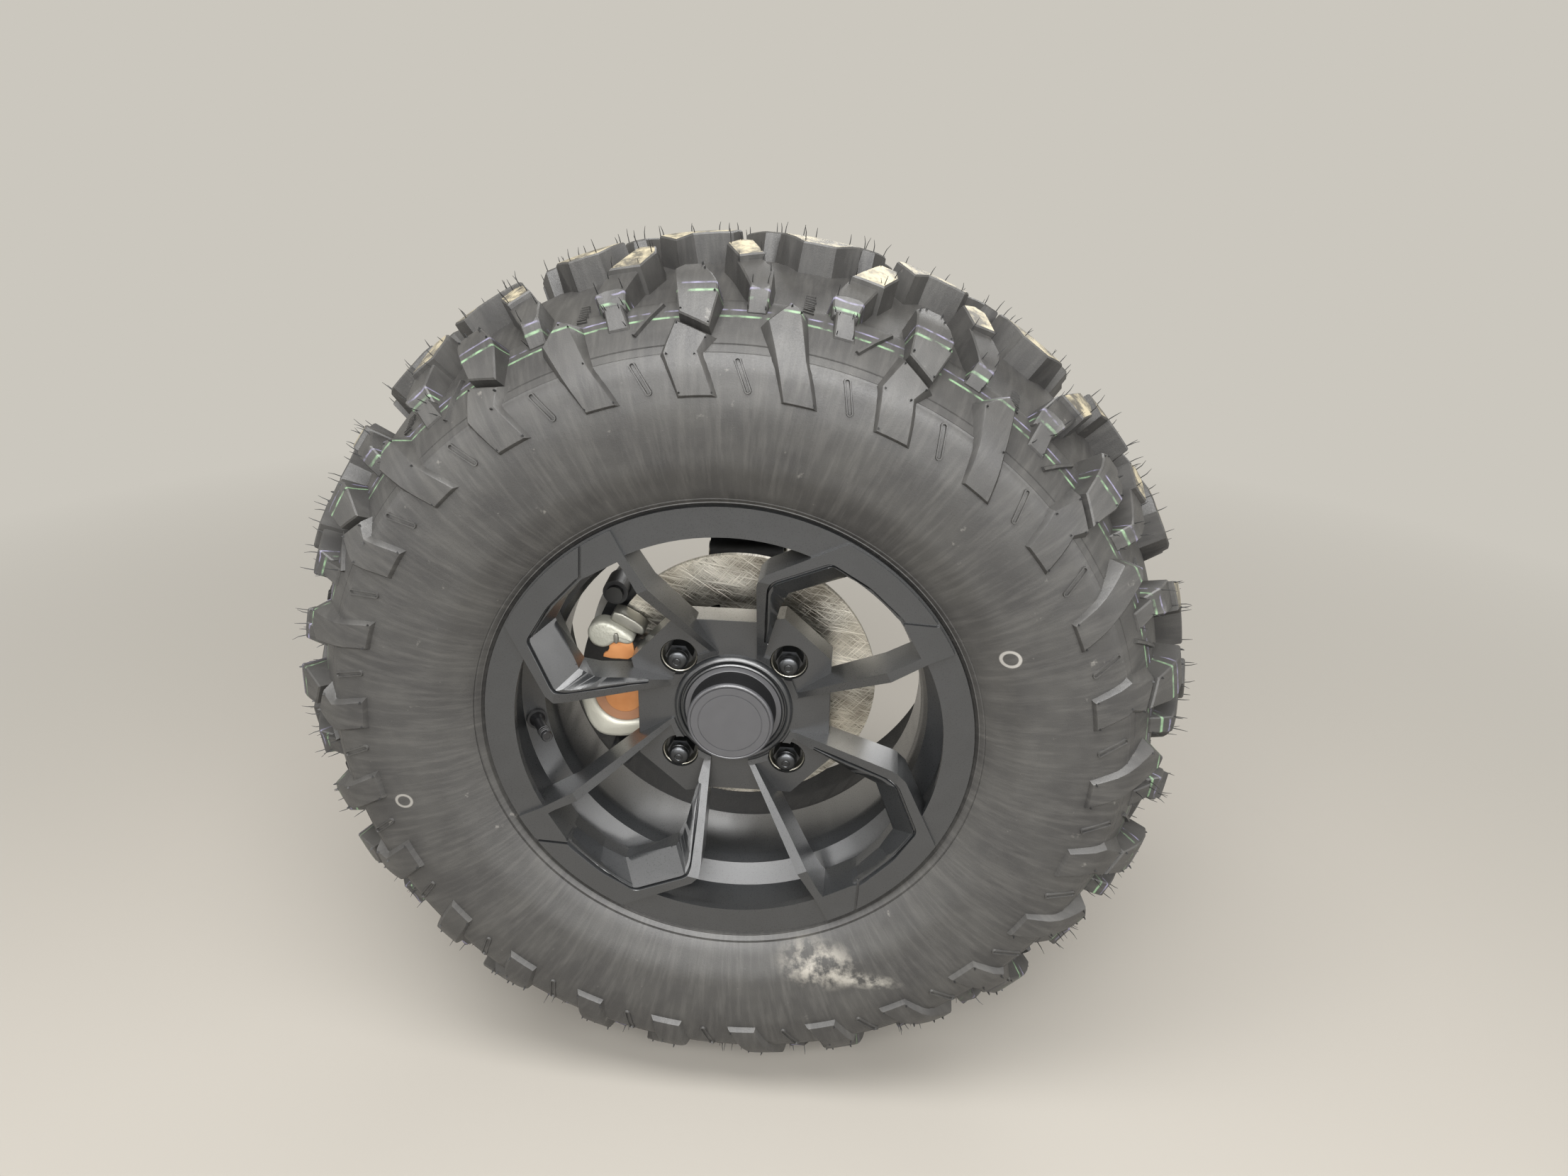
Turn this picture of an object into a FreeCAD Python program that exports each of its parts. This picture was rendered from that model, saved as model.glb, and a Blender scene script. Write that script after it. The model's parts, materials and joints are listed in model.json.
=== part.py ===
import FreeCAD
import Part
import Sketcher
import os
import re
from math import atan2, cos, degrees, radians, sin, tan

# One wheel end of a small off-road vehicle, in millimetres.
# Each piece is drawn with the wheel's outer lip in the plane Y = 0, the wheel axis along Y,
# Y growing towards the vehicle, X forward and Z up.
# Placement then moves it so that the origin is the middle of the two arm bolts' pattern.

doc = FreeCAD.newDocument("WheelEnd")
sheet = doc.addObject("Spreadsheet::Sheet", "Sizes")

sizes = (
    # rim
    ("lip_radius", 190.5), ("rim_width", 213.0), ("lip_depth", 11.5), ("ring_inner", 167.0),
    ("ring_depth", 6.0), ("bead_radius", 178.0), ("bead_seat", 26.0), ("barrel_wall", 5.5),
    ("step_radius", 161.0), ("step_depth", 47.0), ("well_radius", 157.0), ("well_start", 62.0),
    ("well_end", 112.0), ("inner_seat_start", 172.0),
    # spokes
    ("face_height", 3.0), ("spoke_depth", 33.0), ("brow_radius", 137.0), ("spoke_foot", 50.0),
    ("hub_face", 46.5), ("mount_face", 70.0), ("bevel_depth", 17.0),
    # rim centre
    ("boss_radius", 45.4), ("boss_rise", 1.5), ("centre_bore", 37.5), ("pitch_radius", 62.4),
    ("pocket_radius", 15.2), ("pocket_depth", 12.0), ("stud_hole", 6.9), ("stud_count", 4),
    # centre cap
    ("cap_radius", 34.7), ("cap_face", 21.3), ("cap_wall", 2.2), ("cap_flange", 40.6),
    ("cap_flange_thick", 2.2), ("cap_skirt", 10.0), ("cap_ring_groove", 25.0), ("fit_gap", 0.3),
    # tyre
    ("tyre_radius", 366.0), ("tyre_bulge", 25.0), ("tread_depth", 22.0), ("lug_step", 5.0),
    ("tread_thick", 14.0), ("sidewall_thick", 11.0), ("bead_height", 9.0), ("pitch_count", 13),
    ("lug_angle", 66.15), ("facets_per_pitch", 3),
    # wheel nuts and studs
    ("stud_radius", 6.0), ("stud_tip", 44.0), ("nut_across", 19.0), ("nut_tip", 37.0),
    ("nut_hex", 12.0), ("nut_seat", 4.0),
    # hub
    ("flange_radius", 78.0), ("flange_thick", 9.0), ("pilot_radius", 37.3), ("pilot_length", 7.0),
    ("snout_radius", 26.0), ("snout_end", 44.0), ("neck_radius", 38.0), ("carrier_radius", 66.0),
    ("carrier_thick", 8.0), ("journal_radius", 20.0), ("shoulder_radius", 26.0),
    # brake disc
    ("disc_radius", 114.0), ("disc_inner", 71.0), ("disc_thick", 4.5), ("disc_face", 95.0),
    ("tab_radius", 53.0), ("tab_width", 24.0), ("disc_bolt_ring", 59.0), ("disc_bolt", 4.0),
    ("disc_head_radius", 6.5), ("disc_head_thick", 3.5),
    # axle
    ("axle_radius", 13.0), ("axle_end", 27.0), ("axle_nut_across", 32.0), ("axle_nut_thick", 14.0),
    ("bell_radius", 40.0), ("bell_length", 58.0), ("bell_bore", 31.0), ("bell_floor", 14.0),
    ("track_radius", 8.0), ("track_ring", 29.0), ("track_count", 6),
    # bearing and knuckle
    ("bearing_start", 112.0), ("bearing_width", 37.0), ("bearing_radius", 36.0),
    ("running_gap", 0.04), ("housing_radius", 47.0), ("bearing_step", 31.0),
    ("bush_plane", 150.0), ("bush_drop", 95.0), ("bush_length", 62.0), ("boss_outer", 17.0),
    ("bush_radius", 12.0), ("sleeve_radius", 8.5), ("sleeve_bore", 6.0), ("sleeve_length", 66.0),
    ("web_thick", 9.0), ("web_half_top", 24.0), ("web_half_root", 34.0),
    # caliper
    ("pad_gap", 0.3), ("lining_thick", 5.0), ("backing_thick", 4.5), ("pad_inner", 78.0),
    ("pad_outer", 112.0), ("pad_half_angle", 20.0), ("finger_thick", 11.0), ("bridge_inner", 119.0),
    ("bridge_outer", 131.0), ("caliper_half_angle", 18.0), ("finger_half_angle", 25.0),
    ("finger_notch", 10.0), ("piston_ring", 95.0), ("piston_housing", 23.0), ("housing_depth", 30.0),
    ("bracket_thick", 8.0), ("pin_angle", 37.0), ("pin_ring", 129.0), ("pin_radius", 4.5),
    ("pin_arm_thick", 8.0), ("pin_boss", 10.5), ("pin_boss_start", 88.0), ("pin_head", 7.0),
    ("pin_head_thick", 5.0),
    ("ear_half_height", 47.0), ("ear_reach", 96.0), ("ear_root", 66.0), ("ear_thick", 10.0),
    ("ear_bolt", 5.0), ("bolt_head_radius", 8.0), ("bolt_head_thick", 6.0),
    # valve
    ("valve_angle", 186.9), ("valve_hole", 5.7), ("valve_base", 8.5), ("valve_stem_radius", 4.6),
    ("valve_length", 36.0),
)
for row, (word, number) in enumerate(sizes, start=1):
    sheet.set(f"A{row}", word)
    sheet.set(f"B{row}", str(number))
    sheet.setAlias(f"B{row}", word)
doc.recompute()

links = {word: "Sizes." + word for word, number in sizes}
nodes = []
places = {}


def size(text):
    """The number that a sheet expression stands for."""
    return float(sheet.evalExpression(linked(text)))


def linked(text):
    """The expression with every size name pointed at the sheet."""
    return re.sub(r"[a-z_]{4,}", lambda found: links.get(found.group(), found.group()), text)


def bind(thing, field, text):
    thing.setExpression(field, linked(text))


def draw(sketch, points):
    """Closes a line through the points, each held by two bound distances from the origin."""
    corners = [FreeCAD.Vector(size(across), size(up), 0) for across, up in points]
    for number, corner in enumerate(corners):
        following = corners[(number + 1) % len(corners)]
        sketch.addGeometry(Part.LineSegment(corner, following), False)
    for number, (across, up) in enumerate(points):
        sketch.addConstraint(Sketcher.Constraint(
            "Coincident", number, 2, (number + 1) % len(points), 1))
        for kind, text in (("DistanceX", across), ("DistanceY", up)):
            place = sketch.addConstraint(Sketcher.Constraint(
                kind, -1, 1, number, 1, size(text)))
            bind(sketch, f"Constraints[{place}]", text)


def circle(sketch, across, up, radius):
    """Adds a circle with its centre and radius bound."""
    shape = Part.Circle(FreeCAD.Vector(size(across), size(up), 0), FreeCAD.Vector(0, 0, 1),
                        size(radius))
    edge = sketch.addGeometry(shape, False)
    for kind, text in (("DistanceX", across), ("DistanceY", up)):
        place = sketch.addConstraint(Sketcher.Constraint(kind, -1, 1, edge, 3, size(text)))
        bind(sketch, f"Constraints[{place}]", text)
    place = sketch.addConstraint(Sketcher.Constraint("Radius", edge, size(radius)))
    bind(sketch, f"Constraints[{place}]", radius)


def new_body(label):
    body = doc.addObject("PartDesign::Body", label)
    body.Label = label
    return body


def plane_of(body, role):
    return next(plane for plane in body.Origin.OriginFeatures if plane.Role == role)


def new_sketch(body, name, role="XY_Plane", offset="0"):
    """A sketch on one of the body's planes; a face sketch can stand off by a bound distance."""
    sketch = body.newObject("Sketcher::SketchObject", name)
    sketch.AttachmentSupport = [(plane_of(body, role), "")]
    sketch.MapMode = "FlatFace"
    if role == "XZ_Plane":
        bind(sketch, "AttachmentOffset.Base.z", f"0 - ({offset})")
    return sketch


def turned(body, name, points):
    """Revolves a section of radius and depth about the wheel axis."""
    sketch = new_sketch(body, name + "_section")
    draw(sketch, points)
    feature = body.newObject("PartDesign::Revolution", name)
    feature.Profile = sketch
    feature.ReferenceAxis = (sketch, ["V_Axis"])
    feature.Angle = 360
    return feature


def grooved(body, name, points):
    """Turns a section away from the body."""
    sketch = new_sketch(body, name + "_section")
    draw(sketch, points)
    feature = body.newObject("PartDesign::Groove", name)
    feature.Profile = sketch
    feature.ReferenceAxis = (sketch, ["V_Axis"])
    feature.Angle = 360
    return feature


def raised(body, name, sketch, length):
    """Pads a face sketch inboard by a bound length."""
    feature = body.newObject("PartDesign::Pad", name)
    feature.Profile = sketch
    feature.Reversed = True
    bind(feature, "Length", length)
    return feature


def sunk(body, name, sketch, length):
    """Pockets a face sketch inboard by a bound length."""
    feature = body.newObject("PartDesign::Pocket", name)
    feature.Profile = sketch
    bind(feature, "Length", length)
    return feature


def ringed(body, name, features, count):
    """Repeats features about the wheel axis."""
    pattern = body.newObject("PartDesign::PolarPattern", name)
    pattern.Originals = features
    pattern.Axis = (plane_axis(body), [""])
    pattern.Angle = 360
    bind(pattern, "Occurrences", count)
    body.Tip = pattern
    return pattern


def plane_axis(body):
    return next(axis for axis in body.Origin.OriginFeatures if axis.Role == "Y_Axis")


def face_outline(name, points, start):
    """A loose sketch in the face plane at a bound depth, seen from outside."""
    sketch = doc.addObject("Sketcher::SketchObject", name)
    sketch.Placement = FreeCAD.Placement(
        FreeCAD.Vector(0, 0, 0), FreeCAD.Rotation(FreeCAD.Vector(1, 0, 0), 90))
    bind(sketch, "Placement.Base.y", start)
    draw(sketch, points)
    return sketch


def extruded(name, sketch, length):
    solid = doc.addObject("Part::Extrusion", name)
    solid.Base = sketch
    solid.DirMode = "Custom"
    solid.Dir = FreeCAD.Vector(0, 1, 0)
    solid.Solid = True
    bind(solid, "LengthFwd", length)
    return solid


def spun(name, points):
    """A loose solid of revolution about the wheel axis."""
    sketch = doc.addObject("Sketcher::SketchObject", name + "_section")
    draw(sketch, points)
    solid = doc.addObject("Part::Revolution", name)
    solid.Source = sketch
    solid.Axis = FreeCAD.Vector(0, 1, 0)
    solid.Base = FreeCAD.Vector(0, 0, 0)
    solid.Angle = 360
    solid.Solid = True
    return solid


def around(name, base, count, ahead=0):
    """Copies of a loose solid, turned evenly about the wheel axis from a share of a step ahead."""
    doc.recompute()
    copies = [] if ahead else [base]
    for number in range(len(copies), count):
        copy = doc.addObject("Part::Feature", f"{name}_{number + 1}")
        shape = base.Shape.copy()
        shape.rotate(FreeCAD.Vector(0, 0, 0), FreeCAD.Vector(0, 1, 0), -360 * (number + ahead) / count)
        copy.Shape = shape
        copies.append(copy)
    return copies


def joined(name, parts, refine=True):
    fused = doc.addObject("Part::MultiFuse", name)
    fused.Shapes = parts
    fused.Refine = refine
    return fused


def common(name, base, tool):
    shared = doc.addObject("Part::Common", name)
    shared.Base = base
    shared.Tool = tool
    return shared


def removed(name, base, tool):
    cut = doc.addObject("Part::Cut", name)
    cut.Base = base
    cut.Tool = tool
    return cut


def rod(name, radius, start, length, across="0", up="0"):
    """A loose cylinder along Y."""
    solid = doc.addObject("Part::Cylinder", name)
    bind(solid, "Radius", radius)
    bind(solid, "Height", length)
    solid.Placement = FreeCAD.Placement(
        FreeCAD.Vector(0, 0, 0), FreeCAD.Rotation(FreeCAD.Vector(1, 0, 0), -90))
    bind(solid, "Placement.Base.x", across)
    bind(solid, "Placement.Base.y", start)
    bind(solid, "Placement.Base.z", up)
    return solid


def cross_rod(name, radius, length, depth, up):
    """A loose cylinder along X, centred on the wheel's middle plane."""
    solid = doc.addObject("Part::Cylinder", name)
    bind(solid, "Radius", radius)
    bind(solid, "Height", length)
    solid.Placement = FreeCAD.Placement(
        FreeCAD.Vector(0, 0, 0), FreeCAD.Rotation(FreeCAD.Vector(0, 1, 0), 90))
    bind(solid, "Placement.Base.x", f"0 - ({length}) / 2")
    bind(solid, "Placement.Base.y", depth)
    bind(solid, "Placement.Base.z", up)
    return solid


def finish(thing, label, across="0", up="0"):
    """Names a piece and keeps where its own centre lies in the wheel's plane."""
    thing.Label = label
    nodes.append(thing)
    places[label] = (across, up)


# Rim: the barrel and lips, turned
barrel = spun("barrel", (
    ("ring_inner", "0"), ("lip_radius", "0"), ("lip_radius", "lip_depth - 4.5"),
    ("lip_radius - 4.5", "lip_depth"), ("bead_radius + 1", "lip_depth + 1"),
    ("bead_radius", "lip_depth + 2.5"), ("bead_radius", "lip_depth + bead_seat"),
    ("step_radius", "step_depth"), ("well_radius", "well_start"), ("well_radius", "well_end"),
    ("bead_radius", "inner_seat_start"), ("bead_radius", "rim_width - lip_depth - 2.5"),
    ("bead_radius + 1", "rim_width - lip_depth - 1"), ("lip_radius - 4.5", "rim_width - lip_depth"),
    ("lip_radius", "rim_width - lip_depth + 4.5"), ("lip_radius", "rim_width"),
    ("lip_radius - 6", "rim_width"), ("bead_radius - barrel_wall", "rim_width - lip_depth + 3"),
    ("bead_radius - barrel_wall", "inner_seat_start + 2"),
    ("well_radius - barrel_wall", "well_end + 2"), ("well_radius - barrel_wall", "well_start + 2"),
    ("step_radius - 4.5", "step_depth + 2.5"), ("bead_radius - barrel_wall", "lip_depth + bead_seat + 2.5"),
    ("bead_radius - barrel_wall", "ring_depth + 4"), ("ring_inner", "ring_depth"),
))

# Rim: four claws, cut to a dished shell
dish = spun("dish", (
    ("spoke_foot", "hub_face - 2"), ("spoke_foot + 5", "hub_face - 3"),
    ("brow_radius", "0 - face_height"), ("lip_radius - 1.5", "0 - face_height"),
    ("lip_radius - 1.5", "ring_depth"), ("bead_radius - 3", "ring_depth + 4"),
    ("bead_radius - 3", "spoke_depth - face_height"), ("brow_radius", "spoke_depth - face_height"),
    ("spoke_foot + 12", "mount_face"), ("spoke_foot", "mount_face"),
))
claw_points = (
    ("18.5", "49"), ("21.5", "128"), ("22.5", "134"), ("28.6", "140.5"), ("110", "178.2"),
    ("180", "180"), ("187", "93.8"), ("150", "75"), ("51", "12.7"), ("30", "10"), ("15", "20"),
)
claw_blank = extruded("claw_blank", face_outline("claw_outline", claw_points, "0 - face_height"),
                      "mount_face + face_height")
blanks = joined("claw_blanks", around("claw", claw_blank, 4))
spider = common("spider", dish, blanks)

# Rim: the window in each claw, bevelled on its outer sides
window_face = (
    ("24", "49"), ("29.5", "127"), ("33", "134.5"), ("76", "152"), ("105", "134"),
    ("130.2", "110.2"), ("131.5", "104"), ("145", "80"), ("139", "76"), ("120", "66"), ("51", "18"),
    ("42", "42"),
)
window_floor = (
    ("24", "49"), ("38", "106"), ("44", "118"), ("87", "134"), ("106", "124"),
    ("127", "106"), ("129", "102"), ("142", "80.5"), ("138", "77"), ("120", "67"), ("51", "18"),
    ("42", "42"),
)
mouth = doc.addObject("Part::Loft", "window_mouth")
mouth.Sections = [face_outline("window_top", window_face, "0 - face_height - 2"),
                  face_outline("window_bottom", window_floor, "bevel_depth")]
mouth.Solid = True
mouth.Ruled = True
throat = extruded("window_throat", face_outline("window_low", window_floor, "bevel_depth"),
                  "mount_face")
window = joined("window", [mouth, throat])
windows = joined("windows", around("window_copy", window, 4))
spokes = removed("spokes", spider, windows)

# Rim: the centre plate with its pads, pockets and bore
pad_corners = (("78", "13"), ("77.8", "48.1"), ("39.9", "82.6"), ("17", "78"))
quarter = [(pad_corners, 1, 0), (pad_corners, 0, 1), (pad_corners, -1, 0), (pad_corners, 0, -1)]
plate_points = []
for corners, east, north in quarter:
    for across, up in corners:
        plate_points.append((f"{east} * {across} - {north} * {up}",
                             f"{north} * {across} + {east} * {up}"))
plate = extruded("centre_plate", face_outline("plate_outline", plate_points, "hub_face"),
                 "mount_face - hub_face")
boss = rod("centre_boss", "boss_radius", "hub_face - boss_rise", "mount_face - hub_face + boss_rise")
rim_solid = joined("rim_solid", [barrel, spokes, plate, boss])
pocket_tool = rod("pocket_tool", "pocket_radius", "hub_face - 20", "pocket_depth + 20",
                  "pitch_radius * cos(45)", "pitch_radius * sin(45)")
stud_tool = rod("stud_tool", "stud_hole", "hub_face - 20", "mount_face",
                "pitch_radius * cos(45)", "pitch_radius * sin(45)")
seat_tool = doc.addObject("Part::Cone", "seat_tool")
bind(seat_tool, "Radius1", "stud_hole + nut_seat")
bind(seat_tool, "Radius2", "stud_hole")
bind(seat_tool, "Height", "nut_seat")
seat_tool.Placement = FreeCAD.Placement(
    FreeCAD.Vector(0, 0, 0), FreeCAD.Rotation(FreeCAD.Vector(1, 0, 0), -90))
bind(seat_tool, "Placement.Base.x", "pitch_radius * cos(45)")
bind(seat_tool, "Placement.Base.y", "hub_face + pocket_depth")
bind(seat_tool, "Placement.Base.z", "pitch_radius * sin(45)")
one_seat = joined("one_seat", [pocket_tool, stud_tool, seat_tool])
seats = around("seat", one_seat, 4)
bore_tool = rod("bore_tool", "centre_bore", "hub_face - 20", "mount_face")

# Rim: the hole that the valve snaps into, leaning as the seat slope does
valve_turn = FreeCAD.Rotation(FreeCAD.Vector(0, 1, 0), -size("valve_angle"))
step_rise = size("step_depth - lip_depth - bead_seat")
step_fall = size("bead_radius - step_radius")
valve_tilt = FreeCAD.Rotation(FreeCAD.Vector(0, 0, 1), -degrees(atan2(step_rise, step_fall)))


def valve_solid(name, kind, radius, start, length, tip_radius=None):
    """A round solid on the valve's axis; start is measured outward from the rim wall."""
    solid = doc.addObject(kind, name)
    if tip_radius is None:
        bind(solid, "Radius", radius)
    else:
        bind(solid, "Radius1", radius)
        bind(solid, "Radius2", tip_radius)
    bind(solid, "Height", length)
    outward = FreeCAD.Rotation(FreeCAD.Vector(1, 0, 0), 90)
    turn = valve_turn.multiply(valve_tilt)
    wall = FreeCAD.Vector(size("(bead_radius - barrel_wall + step_radius - 4.5) / 2"),
                          size("(lip_depth + bead_seat + step_depth + 5) / 2"), 0)
    along = valve_tilt.multVec(FreeCAD.Vector(0, -size(start), 0))
    solid.Placement = FreeCAD.Placement(valve_turn.multVec(wall + along), turn.multiply(outward))
    return solid


valve_cut = valve_solid("valve_cut", "Part::Cylinder", "valve_hole", "0 - 25", "50")
cutters = joined("rim_cutters", seats + [bore_tool, valve_cut])
rim = removed("rim", rim_solid, cutters)
finish(rim, "rim")

# Centre cap: a pot with a flange that seats on the boss and a skirt in the bore
cap = new_body("centre_cap")
boss_face = "hub_face - boss_rise"
turned(cap, "cap_pot", (
    ("0", "cap_face"), ("cap_radius", "cap_face"),
    ("cap_radius", f"{boss_face} - cap_flange_thick"), ("cap_flange", f"{boss_face} - cap_flange_thick"),
    ("cap_flange", boss_face), ("centre_bore - fit_gap", boss_face),
    ("centre_bore - fit_gap", f"{boss_face} + cap_skirt"),
    ("centre_bore - fit_gap - cap_wall", f"{boss_face} + cap_skirt"),
    ("cap_radius - cap_wall", f"{boss_face}"), ("cap_radius - cap_wall", "cap_face + cap_wall"),
    ("0", "cap_face + cap_wall"),
))
grooved(cap, "cap_ring", (
    ("cap_ring_groove", "cap_face - 1"), ("cap_ring_groove + 0.8", "cap_face - 1"),
    ("cap_ring_groove + 0.8", "cap_face + 0.5"), ("cap_ring_groove", "cap_face + 0.5"),
))
finish(cap, "centre_cap")

# Tyre: its curves are shares of the section's height and of its half width. A place on the
# tread is given in hundredths of a pitch round the wheel, counted from the foot of a side lug,
# and in hundredths of the way from the rim's lip to the middle of the tread.
middle = "rim_width / 2"


def rise(share):
    return f"lip_radius + {share} * (tyre_radius - lip_radius)"


def spread(share):
    return f"{middle} - ({share}) * ({middle} + tyre_bulge)"


def mirrored(points):
    """The section's points with their twins on the inboard half, in order."""
    return list(points) + [(radius, f"rim_width - ({depth})") for radius, depth in reversed(points)]


bead = (
    ("bead_radius", "lip_depth + 2.5"), ("lip_radius - 4.5", "lip_depth"),
    ("lip_radius", "lip_depth - 4.5"), (rise(0.045), spread(0.856)), (rise(0.075), spread(0.875)),
    (rise(0.075), f"{spread(0.875)} + 2 * sidewall_thick"),
    ("bead_radius + bead_height", "lip_depth + bead_seat - 4"),
    ("bead_radius", "lip_depth + bead_seat - 6"),
)
outboard_bead = spun("outboard_bead", bead)
inboard_bead = spun("inboard_bead", [(radius, f"rim_width - ({depth})") for radius, depth in bead])

# Tyre: the way along the tread, then the lugs' faces and the floor between them as shares
tread_rows = (
    (31.9, 0.442, 0.996, 0.440, 0.972), (34.5, 0.481, 1.0, 0.480, 0.970),
    (44.5, 0.630, 0.962, 0.619, 0.927), (51.9, 0.721, 0.871, 0.684, 0.817),
    (59.4, 0.801, 0.757, 0.741, 0.675), (66.8, 0.886, 0.658, 0.790, 0.570),
    (74.2, 0.926, 0.513, 0.809, 0.464), (81.6, 0.954, 0.369, 0.832, 0.330),
    (89.1, 0.977, 0.224, 0.854, 0.198), (100, 1.0, 0.0, 0.875, 0.0),
)
# Tyre: each lug's name, draft in degrees, turn on to its inboard twin, how many of its last
# corners are a step down, and its corners
side_lugs = (
    ("side_lug", 8, 50, 0, (
        (8.7, 34.5), (14.4, 45.6), (8.7, 54.5), (-6.1, 50.1), (-2.2, 45.6), (-9.4, 34.5))),
    ("shoulder_lug", 3, 50, 0, (
        (7.2, 56.4), (-6.1, 52.7), (-9.0, 61.2), (-8.3, 64.9), (-2.5, 72.0), (-0.7, 75), (7.2, 75),
        (10.5, 72.0))),
    ("blade_lug", 8, -50, 0, (
        (56.7, 34.5), (40.1, 34.5), (49.1, 46.0), (56.0, 59.4), (60.7, 60.9), (69.3, 54.9))),
    ("front_lug", 5, 50, 4, (
        (25.3, 75.3), (20.2, 83.1), (21.3, 87.6), (28.9, 88.7), (39.5, 76.5), (44.4, 66.8),
        (40.4, 58.5), (31.5, 58.5), (31.1, 66.8))),
    ("rear_lug", 5, -50, 4, (
        (75.5, 80.5), (81.2, 89.1), (86.7, 89.4), (91.7, 86.1), (86.0, 78.5), (78.0, 65.5),
        (78.7, 60.0), (70.8, 60.0), (70.1, 66.4))),
)
centre_lugs = (
    ("centre_wide", 8, 0, 0, (
        (69.7, 99.1), (61.4, 92.8), (47.7, 92.8), (37.9, 98.7), (41.0, 103.7), (57.6, 104.3),
        (63.7, 109.1), (72.0, 103.2))),
    ("centre_narrow", 8, 0, 0, (
        (22.0, 96.8), (13.7, 90.9), (7.6, 95.7), (-9.0, 96.3), (-11.9, 101.3), (-2.2, 107.2),
        (11.6, 107.2), (19.9, 100.9))),
)
# Tyre: the line between two pitches, which passes between the lugs from bead to bead
seam = (
    (-21.1, 31.9), (-19.5, 52), (-15.5, 61.2), (-12.3, 68.6), (-7.6, 76.1), (-3.0, 84.5), (-11.5, 92.3),
    (-19.9, 97.2), (-19.9, 102.8), (-12.5, 109.8), (0.5, 120.2), (2.7, 133.2), (-2.3, 144.3),
    (-16.8, 154), (-21.1, 168.1),
)

tread_table = [[way] + [size(text) for text in (rise(up), spread(out), rise(floor_up), spread(floor_out))]
               for way, up, out, floor_up, floor_out in tread_rows]
lug_turn = size("lug_angle")
pitch_turn = size("360 / pitch_count")
rim_span = size("rim_width")


def on_tread(turn, way, drop):
    """A point over the tread; drop runs from the lugs' faces at 0 to the floor at 1."""
    near = 200 - way if way > 100 else way
    low, high = tread_table[:2]
    for low, high in zip(tread_table, tread_table[1:]):
        if near <= high[0]:
            break
    share = (near - low[0]) / (high[0] - low[0])
    values = [first + (last - first) * share for first, last in zip(low[1:], high[1:])]
    radius = values[0] + (values[2] - values[0]) * drop
    depth = values[1] + (values[3] - values[1]) * drop
    angle = radians(lug_turn + turn / 100 * pitch_turn)
    return FreeCAD.Vector(radius * cos(angle), rim_span - depth if way > 100 else depth,
                          radius * sin(angle))


turn_mm = (on_tread(1, 100, 0) - on_tread(0, 100, 0)).Length
way_mm = (on_tread(0, 82, 0) - on_tread(0, 81, 0)).Length
step_drop = size("lug_step / tread_depth")


def lug_height(way):
    return (on_tread(0, way, 1) - on_tread(0, way, 0)).Length


def widened(corners, amounts):
    """An outline whose corners have stepped outward, each by its own amount."""
    following = corners[1:] + corners[:1]
    doubled_area = sum(here[0] * there[1] - there[0] * here[1]
                       for here, there in zip(corners, following))
    way = 1 if doubled_area > 0 else -1
    outward = [FreeCAD.Vector(there[1] - here[1], here[0] - there[0], 0).normalize() * way
               for here, there in zip(corners, following)]
    moved = []
    for corner, before, after, amount in zip(corners, outward[-1:] + outward[:-1], outward, amounts):
        step = (before + after) * (amount / max(0.5, 1 + before.dot(after)))
        moved.append((corner[0] + step.x, corner[1] + step.y))
    return moved


def flat_face(corners):
    return Part.Face(Part.makePolygon([FreeCAD.Vector(*corner, 0) for corner in corners + corners[:1]]))


def paved(outline, drop, holes=()):
    """Triangles, as corners with their drop, over a flat outline less its holes."""
    face = flat_face(outline)
    if holes:
        face = face.cut([flat_face(hole) for hole in holes])
    points, triples = face.tessellate(1)
    return [[(points[corner].x, points[corner].y, drop) for corner in triple] for triple in triples]


def fanned(corners):
    """Triangles that fan out from the first corner."""
    return [[corners[0], corners[number], corners[number + 1]] for number in range(1, len(corners) - 1)]


def lug_faces(tops, foot, stepped):
    """Triangles of one lug: its face, its sides down to the foot, and the step if it has one."""
    count = len(tops)
    high = count - stepped
    found = paved(tops[:high], 0)
    for number in range(count):
        after = (number + 1) % count
        drop = step_drop if max(number, after) >= high else 0
        side = [(*tops[number], drop), (*foot[number], 1), (*foot[after], 1)]
        if stepped and after == high - 1:
            side.append((*tops[after], step_drop))
        side.append((*tops[after], drop))
        if stepped and number == 0:
            side = [side[3], (*tops[0], 0), (*tops[0], step_drop), side[1], side[2]]
        found += fanned(side)
    if stepped:
        found += paved(tops[high - 1:] + tops[:1], step_drop)
        found += fanned([(*tops[0], 0), (*tops[0], step_drop), (*tops[high - 1], step_drop),
                         (*tops[high - 1], 0)])
    return found


# Tyre: one pitch of the tread laid out flat in mm round and along, outboard and inboard half
pitch_faces = []
feet = []
for inboard, lugs in ((False, side_lugs + centre_lugs), (True, side_lugs)):
    for name, draft, twin_turn, stepped, corners in lugs:
        if inboard:
            corners = [(turn + twin_turn, 200 - way) for turn, way in corners]
        tops = [(turn * turn_mm, way * way_mm) for turn, way in corners]
        foot = widened(tops, [lug_height(way) * tan(radians(draft)) for turn, way in corners])
        pitch_faces += lug_faces(tops, foot, stepped)
        feet.append(foot)
columns = int(size("facets_per_pitch"))
rows = [(turn * turn_mm, way * way_mm) for turn, way in seam]
next_rows = [(across + 100 * turn_mm, up) for across, up in rows]
start_edge = [(rows[0][0] + 100 * turn_mm * step / columns, rows[0][1]) for step in range(1, columns)]
end_edge = [(across, rows[-1][1]) for across, up in reversed(start_edge)]
pitch_faces += paved(rows[:1] + start_edge + next_rows + end_edge + rows[:0:-1], 1, feet)

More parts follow.
